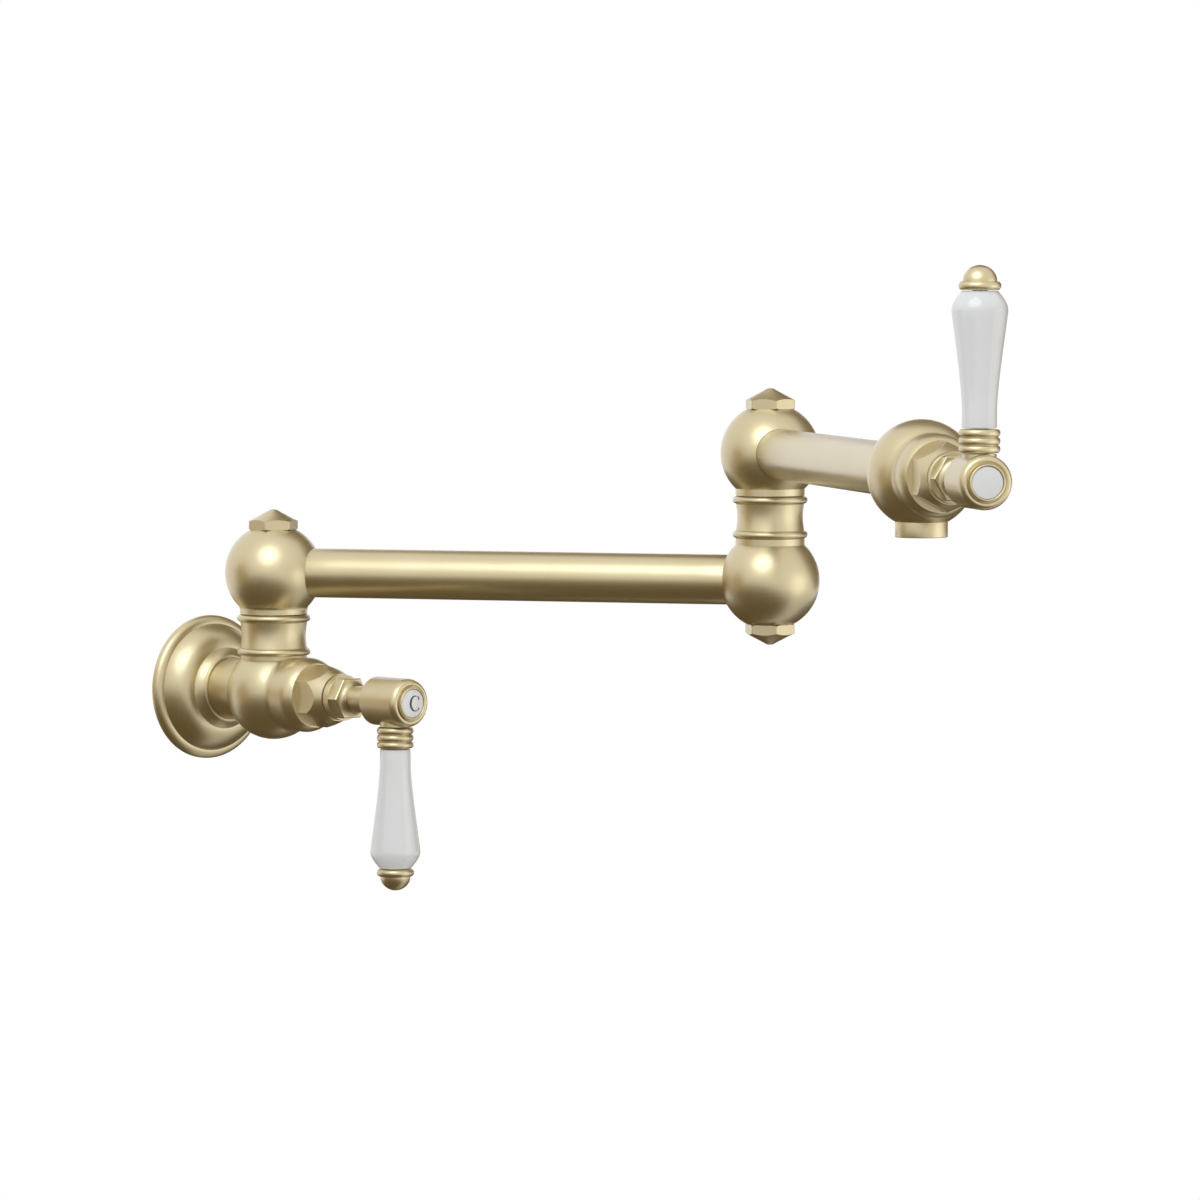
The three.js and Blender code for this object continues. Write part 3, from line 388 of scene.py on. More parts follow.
def turned(name, outline, steps=112):
    """Draws one corner out along the outline, edge by edge, and spins it round +Z as on a lathe."""
    bpy.ops.object.select_all(action="DESELECT")
    bpy.ops.mesh.primitive_plane_add(size=MM, location=(outline[0][0] * MM, 0, outline[0][1] * MM))
    piece = bpy.context.object
    piece.name = piece.data.name = name
    only(piece)
    bpy.ops.object.transform_apply(location=True, rotation=True, scale=True)
    bpy.ops.object.mode_set(mode="EDIT")
    bpy.ops.mesh.select_all(action="SELECT")
    bpy.ops.mesh.merge(type="CENTER")
    for (r, z), (next_r, next_z) in zip(outline, outline[1:]):
        if math.hypot(next_r - r, next_z - z) > 1e-4:
            step = ((next_r - r) * MM, 0, (next_z - z) * MM)
            bpy.ops.mesh.extrude_region_move(TRANSFORM_OT_translate={"value": step})
    bpy.ops.mesh.select_all(action="SELECT")
    bpy.ops.mesh.spin(steps=steps, angle=2 * math.pi, center=(0, 0, 0), axis=(0, 0, 1))
    bpy.ops.mesh.select_all(action="SELECT")
    bpy.ops.mesh.remove_doubles(threshold=2e-6)
    bpy.ops.mesh.normals_make_consistent(inside=False)
    bpy.ops.object.mode_set(mode="OBJECT")
    return piece


def loop(outline):
    """An outline that ends where it starts."""
    return [*outline, outline[0]]


def bar(name, radius, start, end, steps=112):
    return turned(name, [(0, start), (radius, start), (radius, end), (0, end)], steps)


def hexagon(name, flats, start, end):
    """Hexagonal bar along +Z, with corners on the Y axis."""
    bpy.ops.object.select_all(action="DESELECT")
    bpy.ops.mesh.primitive_cylinder_add(vertices=6, radius=to_corner(flats) * MM, depth=(end - start) * MM,
                                        location=(0, 0, (start + end) / 2 * MM))
    piece = bpy.context.object
    piece.name = piece.data.name = name
    only(piece)
    bpy.ops.object.transform_apply(location=True, rotation=True, scale=True)
    return piece


def moved(piece, matrix):
    """Sets a piece at a matrix and leaves its place in its mesh."""
    only(piece)
    piece.matrix_world = matrix
    bpy.ops.object.transform_apply(location=True, rotation=True, scale=True)
    return piece


def copied(piece, name):
    only(piece)
    bpy.ops.object.duplicate(linked=False)
    twin = bpy.context.object
    twin.name = twin.data.name = name
    return twin


def shaped(piece, kind, **values):
    """Adds one modifier with its values and applies it."""
    only(piece)
    modifier = piece.modifiers.new(kind.title(), kind)
    for key, value in values.items():
        setattr(modifier, key, value)
    bpy.ops.object.modifier_apply(modifier=modifier.name)
    return piece


def combined(piece, tool, operation):
    """Joins a tool to a piece, cuts it out of it or keeps what both hold."""
    shaped(piece, "BOOLEAN", operation=operation, object=tool, solver="EXACT")
    bpy.data.objects.remove(tool)
    if not piece.data.polygons:
        raise RuntimeError(f"{piece.name} has no faces left")
    return piece


def smoothed(piece, angle):
    """Smooths the surfaces between edges that are sharper than the angle."""
    only(piece)
    bpy.ops.object.shade_smooth_by_angle(angle=math.radians(angle))
    return piece


def softened(piece, edge, angle=32):
    """Breaks the sharp edges of a turned piece, as a deburring wheel does."""
    shaped(piece, "BEVEL", width=edge * MM, segments=3, limit_method="ANGLE", angle_limit=math.radians(angle),
           use_clamp_overlap=True)
    return smoothed(piece, angle + 10)


def finished(piece, body, material, slot, *nodes):
    """Gives a piece its material and body, and lets it stand for its CAD nodes. The slot is not used."""
    piece.data.materials.clear()
    piece.data.materials.append(material)
    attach(piece, body)
    if nodes:
        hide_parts(*nodes)
    return piece


def brassed(piece, body, place, node_name):
    """Finishes a piece in satin brass that was turned on the axis of a station."""
    return finished(piece, body, satin_brass(place), "satin_brass", node_name)


# ---------------------------------------------------------------- materials
def node(tree, kind, inputs=None, **fields):
    """Adds one shader node, sets its fields, and fills or links its inputs."""
    made = tree.nodes.new(kind)
    for field, value in fields.items():
        setattr(made, field, value)
    for socket, value in (inputs or {}).items():
        if isinstance(value, bpy.types.NodeSocket):
            tree.links.new(value, made.inputs[socket])
        else:
            made.inputs[socket].default_value = value
    return made


def surface(name, build):
    """The material of that name, made once."""
    material = bpy.data.materials.get(name)
    if material is None:
        material = bpy.data.materials.new(name)
        material.use_nodes = True
        tree = material.node_tree
        tree.nodes.clear()
        output = node(tree, "ShaderNodeOutputMaterial")
        tree.links.new(build(tree).outputs["BSDF"], output.inputs["Surface"])
    return material


def at_station(tree, matrix):
    """Object coordinates seen from a station, as radius from its axis, and height along it."""
    place = node(tree, "ShaderNodeTexCoord").outputs["Object"]
    local = node(tree, "ShaderNodeMapping", {
        "Vector": place,
        "Location": matrix.to_translation(),
        "Rotation": matrix.to_euler(),
    }, vector_type="TEXTURE").outputs["Vector"]
    parts = node(tree, "ShaderNodeSeparateXYZ", {"Vector": local}).outputs
    across = node(tree, "ShaderNodeCombineXYZ", {"X": parts["X"], "Y": parts["Y"]}).outputs["Vector"]
    radius = node(tree, "ShaderNodeVectorMath", {0: across}, operation="LENGTH").outputs["Value"]
    rings = node(tree, "ShaderNodeCombineXYZ", {"X": radius, "Z": parts["Z"]}).outputs["Vector"]
    return place, rings


def satin_brass(station_name):
    """Brass turned on one axis, brushed satin and lacquered champagne.

    The brushing runs round the piece, so it spreads the highlights and leaves faint rings."""
    look = settings("finishes")

    def build(tree):
        place, rings = at_station(tree, STATIONS[station_name])
        # Brushing lines are about 0.1 mm apart. They are drawn 0.8 mm apart, because finer ones don't show.
        lines = node(tree, "ShaderNodeTexNoise", {"Vector": rings, "Scale": 1 / (0.8 * MM), "Detail": 3.0,
                                                  "Roughness": 0.6}).outputs["Fac"]
        # The lacquer's tone drifts over some 30 mm.
        patches = node(tree, "ShaderNodeTexNoise", {"Vector": place, "Scale": 1 / (30 * MM),
                                                    "Detail": 2.0}).outputs["Fac"]
        # Grit of the blasting under it, about 0.5 mm.
        grit = node(tree, "ShaderNodeTexNoise", {"Vector": place, "Scale": 1 / (0.5 * MM),
                                                 "Detail": 2.0}).outputs["Fac"]
        tone = node(tree, "ShaderNodeMix", {0: patches, 6: (*look.brass, 1), 7: (*look.brass_deep, 1)},
                    data_type="RGBA").outputs[2]
        spread = node(tree, "ShaderNodeMapRange", {
            "Value": lines, "From Min": 0.3, "From Max": 0.7,
            "To Min": look.brass_roughness - 0.02, "To Max": look.brass_roughness + 0.04,
        }).outputs["Result"]
        relief = node(tree, "ShaderNodeMath", {0: lines, 1: grit}, operation="ADD").outputs["Value"]
        bump = node(tree, "ShaderNodeBump", {"Height": relief, "Strength": 0.08,
                                             "Distance": 0.03 * MM}).outputs["Normal"]
        return node(tree, "ShaderNodeBsdfPrincipled", {
            "Base Color": tone, "Metallic": 1.0, "Roughness": spread, "Normal": bump,
            "Coat Weight": look.lacquer, "Coat Roughness": 0.27, "Coat IOR": 1.6,
        })

    return surface(f"brass_turned_satin_lacquered_{station_name}", build)


def raw_brass():
    """Free cutting brass as it leaves the lathe, yellow and a little uneven."""
    look = settings("finishes")

    def build(tree):
        place = node(tree, "ShaderNodeTexCoord").outputs["Object"]
        # Turning marks about 1.5 mm apart.
        marks = node(tree, "ShaderNodeTexNoise", {"Vector": place, "Scale": 1 / (1.5 * MM),
                                                  "Detail": 3.0}).outputs["Fac"]
        tone = node(tree, "ShaderNodeMix", {0: marks, 6: (*look.raw_brass, 1), 7: (*srgb("#A68843"), 1)},
                    data_type="RGBA").outputs[2]
        spread = node(tree, "ShaderNodeMapRange", {"Value": marks, "To Min": 0.28,
                                                   "To Max": 0.45}).outputs["Result"]
        return node(tree, "ShaderNodeBsdfPrincipled", {"Base Color": tone, "Metallic": 1.0,
                                                       "Roughness": spread})

    return surface("brass_turned_raw", build)


def porcelain():
    """Porcelain, slip cast and dipped in white glaze: a hard gloss over a slightly uneven skin."""
    look = settings("finishes")

    def build(tree):
        place = node(tree, "ShaderNodeTexCoord").outputs["Object"]
        # The glaze pools over some 12 mm and its skin waves over some 5 mm.
        pools = node(tree, "ShaderNodeTexNoise", {"Vector": place, "Scale": 1 / (12 * MM),
                                                  "Detail": 2.0}).outputs["Fac"]
        waves = node(tree, "ShaderNodeTexNoise", {"Vector": place, "Scale": 1 / (5 * MM),
                                                  "Detail": 1.0}).outputs["Fac"]
        tone = node(tree, "ShaderNodeMix", {0: pools, 6: (*look.glaze, 1), 7: (*look.glaze_thin, 1)},
                    data_type="RGBA").outputs[2]
        spread = node(tree, "ShaderNodeMapRange", {"Value": pools, "To Min": 0.1,
                                                   "To Max": 0.2}).outputs["Result"]
        bump = node(tree, "ShaderNodeBump", {"Height": waves, "Strength": 0.08,
                                             "Distance": 0.1 * MM}).outputs["Normal"]
        return node(tree, "ShaderNodeBsdfPrincipled", {
            "Base Color": tone, "Roughness": spread, "IOR": 1.5, "Normal": bump,
            "Coat Weight": 0.3, "Coat Roughness": 0.05,
        })

    return surface("porcelain_glazed_white", build)


def fired_ink():
    """Ceramic ink fired under the glaze, nearly black."""
    look = settings("finishes")

    def build(tree):
        place = node(tree, "ShaderNodeTexCoord").outputs["Object"]
        # Specks of pigment, about 0.4 mm.
        specks = node(tree, "ShaderNodeTexNoise", {"Vector": place, "Scale": 1 / (0.4 * MM),
                                                   "Detail": 2.0}).outputs["Fac"]
        tone = node(tree, "ShaderNodeMix", {0: specks, 6: (*look.letter, 1), 7: (*srgb("#33333A"), 1)},
                    data_type="RGBA").outputs[2]
        return node(tree, "ShaderNodeBsdfPrincipled", {"Base Color": tone, "Roughness": 0.2, "IOR": 1.5})

    return surface("ceramic_ink_fired", build)


def moulded(name, code, second, roughness, grain):
    """A moulded or lapped material of two close tones, with a grain in millimetres."""
    def build(tree):
        place = node(tree, "ShaderNodeTexCoord").outputs["Object"]
        texture = node(tree, "ShaderNodeTexNoise", {"Vector": place, "Scale": 1 / (grain * MM),
                                                    "Detail": 2.0}).outputs["Fac"]
        tone = node(tree, "ShaderNodeMix", {0: texture, 6: (*srgb(code), 1), 7: (*srgb(second), 1)},
                    data_type="RGBA").outputs[2]
        bump = node(tree, "ShaderNodeBump", {"Height": texture, "Strength": 0.1,
                                             "Distance": 0.05 * MM}).outputs["Normal"]
        return node(tree, "ShaderNodeBsdfPrincipled", {"Base Color": tone, "Roughness": roughness,
                                                       "Normal": bump})

    return surface(name, build)


def nitrile():
    """Moulded rubber of gasket and seals, matt and nearly black."""
    return moulded("nitrile_rubber_moulded", "#1E1E1E", "#2A2A29", 0.65, 0.6)


def acetal():
    """White moulded acetal of washers and straightener."""
    return moulded("acetal_moulded_white", "#E9E7DF", "#DFDDD4", 0.45, 0.8)


def steel():
    """Stainless steel screws and rods, cold drawn: grey, with a soft shine."""
    def build(tree):
        place = node(tree, "ShaderNodeTexCoord").outputs["Object"]
        # Drawing marks about 0.8 mm apart.
        marks = node(tree, "ShaderNodeTexNoise", {"Vector": place, "Scale": 1 / (0.8 * MM),
                                                  "Detail": 3.0}).outputs["Fac"]
        tone = node(tree, "ShaderNodeMix", {0: marks, 6: (*srgb("#B4B6B8"), 1), 7: (*srgb("#A3A5A8"), 1)},
                    data_type="RGBA").outputs[2]
        spread = node(tree, "ShaderNodeMapRange", {"Value": marks, "To Min": 0.25,
                                                   "To Max": 0.4}).outputs["Result"]
        return node(tree, "ShaderNodeBsdfPrincipled", {"Base Color": tone, "Metallic": 1.0,
                                                       "Roughness": spread})

    return surface("stainless_steel_drawn", build)


# ---------------------------------------------------------------- operators
class POTFILLER_OT_inside(bpy.types.Operator):
    """Gives every CAD piece that stays its own finish"""

    bl_idname = "pot_filler.inside"
    bl_label = "Inner pieces"

    def execute(self, context):
        by_slot = {
            "satin_brass": lambda: satin_brass("wall"),
            "plain_brass": raw_brass,
            "porcelain": porcelain,
            "ceramic_disc": lambda: moulded("alumina_lapped", "#DDD8CC", "#D3CEC1", 0.22, 2.0),
            "rubber": nitrile,
            "acetal": acetal,
            "steel": steel,
        }
        for entry in frame["record"]["subparts"]:
            mesh = frame["nodes"][entry["node"]].data
            mesh.materials.clear()
            mesh.materials.append(by_slot[entry["material_slot"]]())
        return {"FINISHED"}


class POTFILLER_OT_flange(bpy.types.Operator):
    """Spins the dished wall flange and its gasket, and drills the flange for its set screw"""

    bl_idname = "pot_filler.flange"
    bl_label = "Wall flange"

    def execute(self, context):
        f = sizes("flange")
        roll = f.radius - f.roll_width
        roll_top = f.rim + f.roll_height
        cove_top = f.depth - f.lip_fall
        dish_top = cove_top - f.cove_fall
        inside_top = f.depth - f.bore_length
        groove_outer, groove_inner, groove_depth = f.radius - 1.8, f.radius - 4.5, 1
        outline = loop([
            (f.bore, inside_top),
            (f.bore, f.depth - 0.1),
            *arc(f.bore + 0.1, cove_top, f.lip - f.bore - 0.1, f.lip_fall, 90, 10, 8),
            *curve((f.lip, cove_top), (f.lip + 0.75, cove_top - 1.3),
                   (f.dish - 1.15, dish_top + 0.85), (f.dish, dish_top), 10),
            *curve((f.dish, dish_top), (f.dish + 4.6, dish_top),
                   (roll - 2.1, roll_top + 5.4), (roll, roll_top), 32)[1:],
            *arc(roll, f.rim, f.roll_width, f.roll_height, 90, 0, 16)[1:],
            (f.radius, 0.35),
            (f.radius - 0.35, 0),
            (groove_outer, 0),
            (groove_outer, groove_depth),
            (groove_inner, groove_depth),
            (groove_inner, f.rim),
            (f.dish + 2, inside_top),
        ])
        piece = turned("flange_dish", outline, 144)
        hole = bar("grub_hole", f.grub, f.bore - 1, f.radius, 48)
        combined(piece, moved(hole, lifted(f.grub_depth) @ SIDEWAYS), "DIFFERENCE")
        moved(smoothed(piece, 24), STATIONS["wall"])
        brassed(piece, "wall_body", "wall", "wall_flange")

        outer = groove_outer - f.groove_gap
        gasket = turned("gasket", loop([
            (groove_inner, 0),
            (outer, 0),
            (outer, groove_depth),
            (groove_inner, groove_depth),
        ]), 144)
        moved(smoothed(gasket, 30), STATIONS["wall"])
        finished(gasket, "wall_body", nitrile(), "rubber", "flange_gasket")
        return {"FINISHED"}


def boss_start(ball, v):
    """The hollow between a ball and its boss: where it leaves the skin, and its points up to the boss."""
    middle = (v.boss + v.fillet, chord(ball + v.fillet, v.boss + v.fillet))
    lean = math.degrees(math.atan2(middle[1], middle[0]))
    return middle, arc(*middle, v.fillet, v.fillet, 180 + lean, 180, 10)


def valve_front(v):
    """Boss face, spigot and the bore for the cartridge, down to its seat and to the waterway."""
    return [
        (v.boss, v.boss_face),
        (v.spigot, v.boss_face),
        (v.spigot, v.spigot_end),
        (v.cartridge, v.spigot_end),
        (v.cartridge, -v.seat),
        (v.waterway, -v.seat),
    ]


class POTFILLER_OT_bodies(bpy.types.Operator):
    """Spins the two valve bodies, each a ball with its boss, and bores them"""

    bl_idname = "pot_filler.bodies"
    bl_label = "Valve bodies"

    def execute(self, context):
        b = sizes("balls")
        v = sizes("valves")
        on_skin, hollow = boss_start(b.valve_ball, v)
        wall = turned("wall_valve_ball", loop([
            (v.inlet, -v.shank_end),
            (v.shank, -v.shank_end),
            *skin(b.valve_ball, (v.shank, -chord(b.valve_ball, v.shank)), on_skin),
            *hollow[1:],
            *valve_front(v),
            (v.waterway, v.inlet_depth - v.shank_end),
            (v.inlet, v.inlet_depth - v.shank_end),
        ]))
        # The neck starts a little above the bottom of the post's bore. What the bore's tool cuts away past the
        # neck's end is far wider and longer than the neck.
        post_foot, wide, far = 10.5, 40, 60
        neck = bar("neck", b.valve_neck, post_foot + 0.1, b.valve_neck_top)
        combined(wall, moved(neck, BACKWARD), "UNION")
        bore = turned("bore", [
            (0, 0),
            (b.port, 0),
            (b.port, post_foot),
            (b.post_bore, post_foot),
            (b.post_bore, b.valve_neck_top),
            (wide, b.valve_neck_top),
            (wide, far),
            (0, far),
        ], 64)
        combined(wall, moved(bore, BACKWARD), "DIFFERENCE")
        moved(smoothed(wall, 30), STATIONS["wall_valve"])
        brassed(wall, "wall_body", "wall_valve", "valve_body")

        on_skin, hollow = boss_start(b.ball, v)
        socket = b.tube + b.socket_gap
        spout = turned("spout_valve_ball", loop([
            (socket, -b.socket_end),
            *skin(b.ball, (socket, -chord(b.ball, socket)), on_skin),
            *hollow[1:],
            *valve_front(v),
            (v.waterway, -b.socket_end),
        ]))
        o = sizes("outlet")
        thread_end = o.seat - o.thread - b.seam
        mouth = turned("mouth", [
            (0, 0),
            (b.port, 0),
            (b.port, thread_end),
            (o.bore + 1.2, thread_end),
            (o.bore + 1.2, o.seat),
            (b.ball, o.seat),
            (b.ball, 2 * b.ball),
            (0, 2 * b.ball),
        ], 96)
        combined(spout, moved(mouth, FORWARD), "DIFFERENCE")
        moved(smoothed(spout, 30), STATIONS["spout_valve"])
        brassed(spout, "outer_arm", "spout_valve", "spout_body")
        return {"FINISHED"}


class POTFILLER_OT_balls(bpy.types.Operator):
    """Spins the three balls of the arms, each with its neck, and bores the tube sockets"""

    bl_idname = "pot_filler.balls"
    bl_label = "Arm balls"

    def execute(self, context):
        b = sizes("balls")
        recess = b.neck - 1.5
        land = chord(b.ball, b.cap_seat)
        neck = [(recess, -b.neck_top), (b.neck - 0.2, -b.neck_top), (b.neck, 0.2 - b.neck_top)]
        top = [(land - 0.1, b.cap_seat), (b.cap_bore, b.cap_seat)]
        # The post's tip passes a ledge in the ball. The nut on the tip lies over the ledge and keeps the ball on.
        ledge_top, ledge_foot, tip_hole = 12, 8.5, 6.8
        inside = [
            (b.cap_bore, ledge_top),
            (tip_hole, ledge_top),
            (tip_hole, ledge_foot),
            (b.post_bore, ledge_foot),
            (b.post_bore, 1.2 - b.neck_top),
            (recess, 1.2 - b.neck_top),
        ]
        # The lower arm's ball flows into its neck. The elbow's balls meet theirs in a line.
        hollow = b.neck + b.lower_fillet, -chord(b.ball + b.lower_fillet, b.neck + b.lower_fillet)
        lean = math.degrees(math.atan2(-hollow[1], hollow[0]))
        onto = b.ball / (b.ball + b.lower_fillet)
        first = [
            *neck,
            *arc(*hollow, b.lower_fillet, b.lower_fillet, 180, 180 - lean, 10),
            *skin(b.ball, (hollow[0] * onto, hollow[1] * onto), (land, b.cap_seat), 44)[1:],
            *top,
            *inside,
        ]
        head = [*neck, *skin(b.ball, (b.neck, -chord(b.ball, b.neck)), (land, b.cap_seat), 44), *top, *inside]
        plug_end, post_foot = 3.4 - b.cap_seat, 9.5
        foot = [
            (b.post_bore, b.neck_top),
            (b.neck - 0.2, b.neck_top),
            (b.neck, b.neck_top - 0.2),
            *skin(b.ball, (b.neck, chord(b.ball, b.neck)), (land, -b.cap_seat), 44),
            (b.cap_bore, -b.cap_seat),
            (b.cap_bore, plug_end),
            (b.port, plug_end),
            (b.port, post_foot),
            (b.post_bore, post_foot),
        ]
        mouth = b.tube + b.socket_gap
        socket = [
            (0, 0),
            (b.chamber, 0),
            (b.chamber, b.socket_end),
            (mouth, b.socket_end),
            (mouth, 2 * b.ball),
            (0, 2 * b.ball),
        ]
        for name, outline, way, place, body, node_name in (
            ("inner_arm_ball", first, FORWARD, "wall_swivel", "inner_arm", "inner_ball"),
            ("elbow_lower_ball", foot, BACKWARD, "elbow_foot", "inner_arm", "elbow_ball"),
            ("outer_arm_ball", head, FORWARD, "elbow_head", "outer_arm", "outer_ball"),
        ):
            ball = turned(name, loop(outline))
            combined(ball, moved(turned("socket", socket, 96), way), "DIFFERENCE")
            moved(smoothed(ball, 30), STATIONS[place])
            brassed(ball, body, place, node_name)
        return {"FINISHED"}


class POTFILLER_OT_tubes(bpy.types.Operator):
    """Draws the two arm tubes"""

    bl_idname = "pot_filler.tubes"
    bl_label = "Arm tubes"

    def execute(self, context):
        b = sizes("balls")
        for name, place, reach, body, node_name in (
            ("inner_arm_tube", "inner_tube", INNER_REACH, "inner_arm", "inner_tube"),
            ("outer_arm_tube", "outer_tube", OUTER_REACH, "outer_arm", "outer_tube"),
        ):
            start, end = b.socket_end + b.seam, reach - b.socket_end - b.seam
            bore = b.tube - b.tube_wall
            steps = [start + (end - start) * i / 12 for i in range(13)]
            outline = loop([(b.tube, z) for z in steps] + [(bore, z) for z in reversed(steps)])
            tube = softened(turned(name, outline, 128), 0.2)
            moved(tube, STATIONS[place])
            brassed(tube, body, place, node_name)
        return {"FINISHED"}


class POTFILLER_OT_caps(bpy.types.Operator):
    """Turns the three hexagonal caps and mills their flats"""

    bl_idname = "pot_filler.caps"
    bl_label = "Ball caps"

    def execute(self, context):
        b = sizes("balls")
        c = sizes("caps")
        top = c.flank + c.cone
        plug = b.cap_bore - b.seam
        # The cone is round, so it leaves a scallop on each flat of the hexagon.
        rim = to_corner(c.flats) - 0.12
        plug_length = 3
        blank = turned("cap", [
            (0, -plug_length),
            (plug, -plug_length),
            (plug, 0),
            (rim - c.edge, 0),
            (rim, c.edge),
            (rim, c.flank),
            (c.tip, top),
            *arc(0, top - 0.15, c.tip, 0.75, 20, 90, 6),
        ], 144)
        combined(blank, hexagon("flats", c.flats, -2 * plug_length, 2 * top), "INTERSECT")
        smoothed(blank, 12)
        for name, place, turn, below, body, node_name in (
            ("inner_arm_cap", "wall_swivel", math.pi / 6, False, "inner_arm", "inner_ball_cap"),
            ("elbow_lower_cap", "elbow_foot", 0.0, True, "inner_arm", "elbow_ball_cap"),
            ("outer_arm_cap", "elbow_head", 0.0, False, "outer_arm", "outer_ball_cap"),
        ):
            cap = copied(blank, name)
            stand = lifted(b.cap_seat) @ Matrix.Rotation(turn, 4, "Z")
            moved(cap, STATIONS[place] @ (FLIP @ stand if below else stand))
            brassed(cap, body, place, node_name)
        bpy.data.objects.remove(blank)
        return {"FINISHED"}


class POTFILLER_OT_sleeves(bpy.types.Operator):
    """Spins the beaded sleeve of each swivel"""

    bl_idname = "pot_filler.sleeves"
    bl_label = "Swivel sleeves"

    def execute(self, context):
        b = sizes("balls")
        s = sizes("sleeves")
        half = s.bead / 2
        wall = s.bead + 2 * s.groove
        bead = [
            *arc(s.foot, half, s.proud, half, -90, 90, 18),
            (s.foot - s.groove, s.bead + s.groove / 3),
            (s.foot - s.groove, s.bead + s.groove),
            (s.foot, wall),
        ]
        waist = [(s.foot - s.waist * math.sin(math.pi * t), wall + (s.height - 2 * wall) * t)
                 for t in (i / 12 for i in range(1, 12))]
        outline = loop([(b.post_bore, 0), *bead, *waist, *[(r, s.height - z) for r, z in reversed(bead)],
                        (b.post_bore, s.height)])
        blank = smoothed(turned("sleeve", outline), 30)
        down = lifted(-(b.neck_top + b.seam + s.height))
        for name, place, body, node_name in (
            ("wall_sleeve", "wall_swivel", "wall_body", "wall_swivel_sleeve"),
            ("elbow_sleeve", "elbow_head", "inner_arm", "elbow_swivel_sleeve"),
        ):
            sleeve = moved(copied(blank, name), STATIONS[place] @ down)
            brassed(sleeve, body, place, node_name)
        bpy.data.objects.remove(blank)
        return {"FINISHED"}


VALVES = (
    ("wall", "wall_valve", "wall_body", "wall_lever", 0.0),
    ("spout", "spout_valve", "outer_arm", "spout_lever", math.pi),
)


class POTFILLER_OT_bonnets(bpy.types.Operator):
    """Turns the bonnet nuts and packing nuts and mills their flats"""

    bl_idname = "pot_filler.bonnets"
    bl_label = "Bonnets and packing nuts"

    def execute(self, context):
        b = sizes("balls")
        v = sizes("valves")
        start = v.boss_face + b.seam
        crest = v.boss + v.band
        rim = start + v.band_rim
        bonnet = turned("bonnet", loop([
            (v.spigot + 0.3, start),
            (crest - 0.2, start),
            (crest, start + 0.2),
            *curve((crest, rim), (crest, rim + 2.3), (v.barrel + 1.5, v.flats_start - 1.75),
                   (v.barrel, v.flats_start), 16),
            *curve((v.barrel, v.dome_start), (v.barrel, v.dome_start + 1.8), (v.nose + 2.1, v.dome_end - 4.6),
                   (v.nose, v.dome_end), 24),
            (v.gland_bore, v.dome_end),
            (v.gland_bore, v.head_end),
            (v.head, v.head_end),
            (v.head, v.head_start),
            (v.spigot + 0.3, v.head_start),
        ]), 144)
        milled = hexagon("flats", v.flats, v.flats_start, 2 * v.dome_end)
        combined(milled, bar("round", 2 * crest, 0, v.flats_start, 24), "UNION")
        combined(bonnet, milled, "INTERSECT")
        smoothed(bonnet, 16)

        gland = v.dome_end + b.seam
        flats = gland + v.ring_length
        middle = gland + v.ring_length / 2
        face = flats + v.hexagon_length
        inner = v.hexagon - v.hexagon_edge
        tip = face + v.gland_nose
        nut = turned("packing_nut", loop([
            (v.stem_hole, gland - v.gland_plug_length),
            (v.gland_plug, gland - v.gland_plug_length),
            (v.gland_plug, gland),
            (v.ring - 0.2, gland),
            (v.ring, gland + 0.2),
            (v.ring, middle - 0.2),
            (v.ring - 0.25, middle),
            (v.ring, middle + 0.2),
            (v.ring, flats - 0.15),
            (v.ring - 0.15, flats),
            (v.ring - 0.15, face),
            (inner, face),
            *curve((inner, face), (v.stem + 1.0, face + 0.3),
                   (v.stem + 0.25, face + 1.2), (v.stem + 0.06, tip), 12)[1:],
            (v.stem + 0.3, tip - 0.6),
            (v.stem + 0.3, flats),
            (v.stem_hole, flats),
        ]), 144)
        wide, narrow, past_tip = to_corner(v.hexagon), to_corner(inner), face + 10
        milled = turned("flats", [
            (0, flats - 0.1),
            (wide, flats - 0.1),
            (wide, face - v.hexagon_edge),
            (narrow, face),
            (narrow, past_tip),
            (0, past_tip),
        ], 6)
        combined(milled, bar("round", 2 * v.ring, 0, flats, 24), "UNION")
        combined(nut, milled, "INTERSECT")
        smoothed(nut, 20)

        for prefix, place, body, _, _ in VALVES:
            for blank, name, node_name in (
                (bonnet, "bonnet_nut", "bonnet"),
                (nut, "gland_nut", "packing_nut"),
            ):
                piece = moved(copied(blank, f"{prefix}_{name}"), STATIONS[place])
                brassed(piece, body, place, f"{prefix}_{node_name}")
        bpy.data.objects.remove(bonnet)
        bpy.data.objects.remove(nut)
        return {"FINISHED"}


